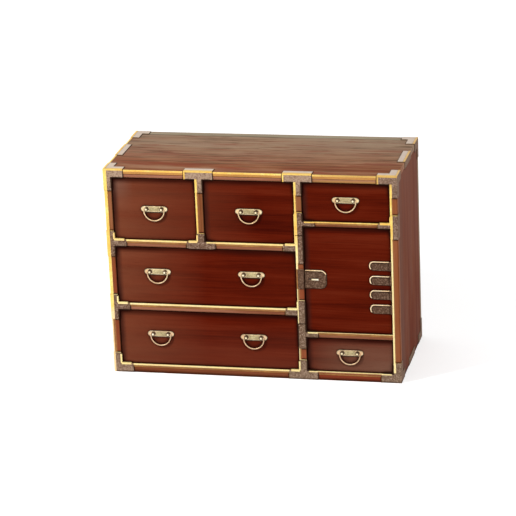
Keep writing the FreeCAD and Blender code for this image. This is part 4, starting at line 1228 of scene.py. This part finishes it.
def add_cover(covers, collars, place, face):
    """A plate with a raised rim over the plain plate of a handle, with a dark backing and foot line that
    paint its shadow.
    """
    wide, high = COVER_HALF
    front = Vector((place.x, face - PLATE_THICK - COVER_PROUD, place.z))
    outline = add_plate(covers, front, wide, high, face)
    add_wire(covers, outline + outline[:1], RIM_RADIUS, RIM_SIDES)
    depth = face - PLATE_THICK / 2
    add_plate(collars, Vector((place.x, depth, place.z - BACKING_DROP)), wide + BACKING, high + BACKING, face)
    line_half, line_high = FOOT_LINE
    foot = place.z - high
    add_box(collars, (place.x - line_half, depth, foot - line_high), (place.x + line_half, face, foot))


def add_block(mesh, place, face):
    """A chased block between the posts, with slanting ridges in a plain rim."""
    wide, high = BLOCK_HALF
    front = face - PLATE_THICK - BLOCK_PROUD
    back = face - PLATE_THICK / 2
    add_box(mesh, (place.x - wide, front, place.z - high), (place.x + wide, back, place.z + high))
    reach = 2 * (wide - BLOCK_RIM) / RIDGES
    scale = Matrix.Diagonal((RIDGE, 2 * RIDGE_PROUD, 2 * (high - BLOCK_RIM), 1.0))
    for number in range(RIDGES):
        x = place.x - wide + BLOCK_RIM + reach * (number + 0.5)
        lean = Matrix.Translation((x, front, place.z)) @ Matrix.Rotation(RIDGE_LEAN, 4, "Y")
        bmesh.ops.create_cube(mesh, size=1.0, matrix=lean @ scale)


def make_handles():
    """The bails, and on each drawer one piece for every look of its handles' plates and posts."""
    places = bail_places()
    for name, place in places.items():
        make_bail(name, place)
    for node in NODES:
        if node.endswith("_handle_mounts"):
            drawer = node.removesuffix("_handle_mounts")
            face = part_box(f"{drawer}_front")[0].y
            prefix = drawer.replace("drawer_", "bail_")
            meshes = {part: bmesh.new() for part in HANDLE_LOOKS}
            for name, place in places.items():
                if name in (prefix, f"{prefix}_left", f"{prefix}_right"):
                    add_cover(meshes["covers"], meshes["collars"], place, face)
                    add_studs(meshes["studs"], meshes["collars"], place, face)
                    add_block(meshes["blocks"], place, face)
            for part, material in HANDLE_LOOKS.items():
                make_piece(f"{drawer}_handle_{part}", meshes[part], material, drawer,
                           bevel=HANDLE_BEVEL)


# Beads with a painted highlight and a dark line of painted shade inside each, and dark outlines of painted
# shadow, on the door's straps and lock plate

BEAD_RADIUS = 1.9 * MM
BEAD_SHADE_RADIUS = 1.2 * MM
BEAD_SIDES = 10
BEAD_STEPS = 10
OUTLINE_RADIUS = 2.4 * MM
OUTLINE_SUNK = 1.2 * MM
OUTLINE_SIDES = 8
OUTLINE_STEPS = 8
STRAP_THICK = 2 * MM
STRAP_NOSE = 14 * MM
STRAP_BEAD_END = 225
KNUCKLE_ROOM = 8 * MM
LOCK_ROUND = 20 * MM
LOCK_BEAD_END = 20


def strap_path(low, high, depth, inset, end, steps):
    """Points along a strap's upper edge and round its nose to an angle, with so many steps to 90 degrees."""
    nose = STRAP_NOSE - inset
    path = [Vector((high.x - KNUCKLE_ROOM, depth, high.z - inset))]
    path += arc(Vector((low.x + STRAP_NOSE, depth, high.z - STRAP_NOSE)), nose, 90, 180, steps)
    lower_steps = steps * (end - 180) // 90
    path += arc(Vector((low.x + STRAP_NOSE, depth, low.z + STRAP_NOSE)), nose, 180, end, lower_steps)
    return path


def lock_path(left, depth, inset, end):
    """Points along the lock plate's upper edge and round its upper corner to an angle."""
    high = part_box("lock_plate")[1]
    corner = Vector((high.x - LOCK_ROUND, depth, high.z - LOCK_ROUND))
    return [Vector((left, depth, high.z - inset)), *arc(corner, LOCK_ROUND - inset, 90, end, OUTLINE_STEPS)]


def make_door_beads():
    """Bright beads on the upper edges of the straps and the lock plate as a painted highlight, each with a
    dark line of painted shade inside it.
    """
    strap_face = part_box("door_panel")[0].y - STRAP_THICK
    lock_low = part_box("lock_plate")[0]
    for name, radius, inset, material in (
        ("door_beads", BEAD_RADIUS, BEAD_RADIUS / 2, BEAD_GILT_AND_HIGHLIGHT),
        ("door_bead_grooves", BEAD_SHADE_RADIUS, 2 * BEAD_RADIUS + BEAD_SHADE_RADIUS / 2, SEAM_AND_SHADOW_IRON),
    ):
        mesh = bmesh.new()
        for low, high in solids_of("door_hinge_straps"):
            path = strap_path(low, high, strap_face, inset, STRAP_BEAD_END, BEAD_STEPS)
            add_wire(mesh, path, radius, BEAD_SIDES)
        path = lock_path(lock_low.x + radius, lock_low.y, inset, LOCK_BEAD_END)
        add_wire(mesh, path, radius, BEAD_SIDES)
        make_piece(name, mesh, material, "door", smooth=True)


def make_door_outlines():
    """Dark lines of painted shadow on the door round the hinge straps and the lock plate."""
    mesh = bmesh.new()
    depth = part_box("door_panel")[0].y + OUTLINE_SUNK
    for low, high in solids_of("door_hinge_straps"):
        path = strap_path(low, high, depth, 0.0, 270, OUTLINE_STEPS)
        path += [Vector((high.x - KNUCKLE_ROOM, depth, low.z))]
        add_wire(mesh, path, OUTLINE_RADIUS, OUTLINE_SIDES)
    low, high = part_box("lock_plate")
    corner = Vector((high.x - LOCK_ROUND, depth, low.z + LOCK_ROUND))
    path = lock_path(low.x, depth, 0.0, 0)
    path += arc(corner, LOCK_ROUND, 0, -90, OUTLINE_STEPS)
    path += [Vector((low.x, depth, low.z))]
    add_wire(mesh, path, OUTLINE_RADIUS, OUTLINE_SIDES)
    make_piece("door_plate_outlines", mesh, SEAM_AND_SHADOW_IRON, "door", smooth=True)


# Floor, light and camera

CENTRE = (cad_low + cad_high) / 2
CAMERA_AZIMUTH = math.radians(12.9)
CAMERA_ELEVATION = math.radians(19.1)
CAMERA_ROLL = math.radians(-2.4)
CAMERA_DISTANCE = 9.0
CAMERA_LENS = 181.9
SENSOR = 36.0
CLIP_END = 100.0
AIM = Vector((-0.0295, 0.0, 0.3515))
# Each light's name, place, size, power and colour
LIGHTS = (
    ("key_light", (-3.0, -2.7, 3.4), (0.6, 0.6), 166.0, (1.0, 0.98, 0.95)),
    ("fill_light", (2.8, -1.6, 1.4), (2.0, 2.0), 38.0, (1.0, 1.0, 1.0)),
    ("top_light", (0.2, 0.6, 3.2), (2.4, 1.6), 12.0, (1.0, 1.0, 1.0)),
)
WORLD_LIGHT = 0.35
WHITE = (1.0, 1.0, 1.0, 1.0)
FLOOR_REACH = 40.0
FLOOR_GREYS = ((0.88, 0.88, 0.88, 1.0), (0.9, 0.9, 0.9, 1.0))
# The distances from the middle between which the floor's glow grows, and its strength at both
FLOOR_GLOW = (0.8, 4.0, 0.5, 0.75)


def make_camera():
    data = bpy.data.cameras.new("camera")
    data.lens = CAMERA_LENS
    data.sensor_width = SENSOR
    data.clip_end = CLIP_END
    camera = bpy.data.objects.new("camera", data)
    bpy.context.scene.collection.objects.link(camera)
    flat = math.cos(CAMERA_ELEVATION)
    across = math.sin(CAMERA_AZIMUTH) * flat
    away = -math.cos(CAMERA_AZIMUTH) * flat
    back = Vector((across, away, math.sin(CAMERA_ELEVATION)))
    camera.location = AIM + back * CAMERA_DISTANCE
    camera.rotation_mode = "QUATERNION"
    camera.rotation_quaternion = back.to_track_quat("Z", "Y") @ Quaternion(Z, CAMERA_ROLL)
    bpy.context.scene.camera = camera


def make_lights():
    for name, place, size, power, colour in LIGHTS:
        data = bpy.data.lights.new(name, "AREA")
        data.shape = "RECTANGLE"
        data.size, data.size_y = size
        data.energy = power
        data.color = colour
        light = bpy.data.objects.new(name, data)
        light.location = place
        light.rotation_mode = "QUATERNION"
        light.rotation_quaternion = (CENTRE - Vector(place)).to_track_quat("-Z", "Y")
        bpy.context.scene.collection.objects.link(light)


def background_share(nodes, links):
    """1 for rays that show the background, to the camera, off metal or through glass, and 0 for the rest."""
    path = nodes.new("ShaderNodeLightPath")
    share = path.outputs["Is Camera Ray"]
    for kind in ("Is Glossy Ray", "Is Transmission Ray"):
        most = nodes.new("ShaderNodeMath")
        most.operation = "MAXIMUM"
        links.new(share, most.inputs[0])
        links.new(path.outputs[kind], most.inputs[1])
        share = most.outputs["Value"]
    return share


def make_world():
    """Soft light from all round, and a background that is white."""
    world = bpy.data.worlds.new("studio")
    world.use_nodes = True
    bpy.context.scene.world = world
    nodes = world.node_tree.nodes
    links = world.node_tree.links
    strength = nodes.new("ShaderNodeMapRange")
    strength.inputs["To Min"].default_value = WORLD_LIGHT
    strength.inputs["To Max"].default_value = 1.0
    links.new(background_share(nodes, links), strength.inputs["Value"])
    shown = nodes["Background"]
    shown.inputs["Color"].default_value = WHITE
    links.new(strength.outputs["Result"], shown.inputs["Strength"])


def make_floor():
    """A pale floor that runs out to white for the camera and keeps the chest's shadow."""
    mesh = bpy.data.meshes.new("floor")
    corners = [(-1, -1), (1, -1), (1, 1), (-1, 1)]
    mesh.from_pydata([(x * FLOOR_REACH, y * FLOOR_REACH, 0.0) for x, y in corners], [], [(0, 1, 2, 3)])
    floor = bpy.data.objects.new("floor", mesh)
    bpy.context.scene.collection.objects.link(floor)
    graph = Graph("floor_white")
    grain = graph.noise(graph.place, 30.0)
    material = graph.finished({"Base Color": graph.mix(grain, *FLOOR_GREYS), "Roughness": 0.9})
    seen = background_share(graph.nodes, graph.links)
    distance = graph.add("ShaderNodeVectorMath", {0: graph.place}, operation="LENGTH").outputs["Value"]
    strength = graph.times(seen, graph.fit(distance, *FLOOR_GLOW))
    glow = graph.add("ShaderNodeEmission", {"Color": WHITE, "Strength": strength})
    both = graph.add("ShaderNodeAddShader", {0: graph.shader.outputs["BSDF"], 1: glow.outputs["Emission"]})
    graph.put(graph.output.inputs["Surface"], both.outputs["Shader"])
    floor.data.materials.append(material)


make_camera()
make_world()
make_lights()
make_floor()
dress_nodes()
make_gilt_trims()
make_gilt_lines()
make_lip_faces()
make_plate_seam_and_shadow_lines()
make_handles()
make_door_beads()
make_door_outlines()

bpy.context.scene.view_settings.view_transform = "Standard"
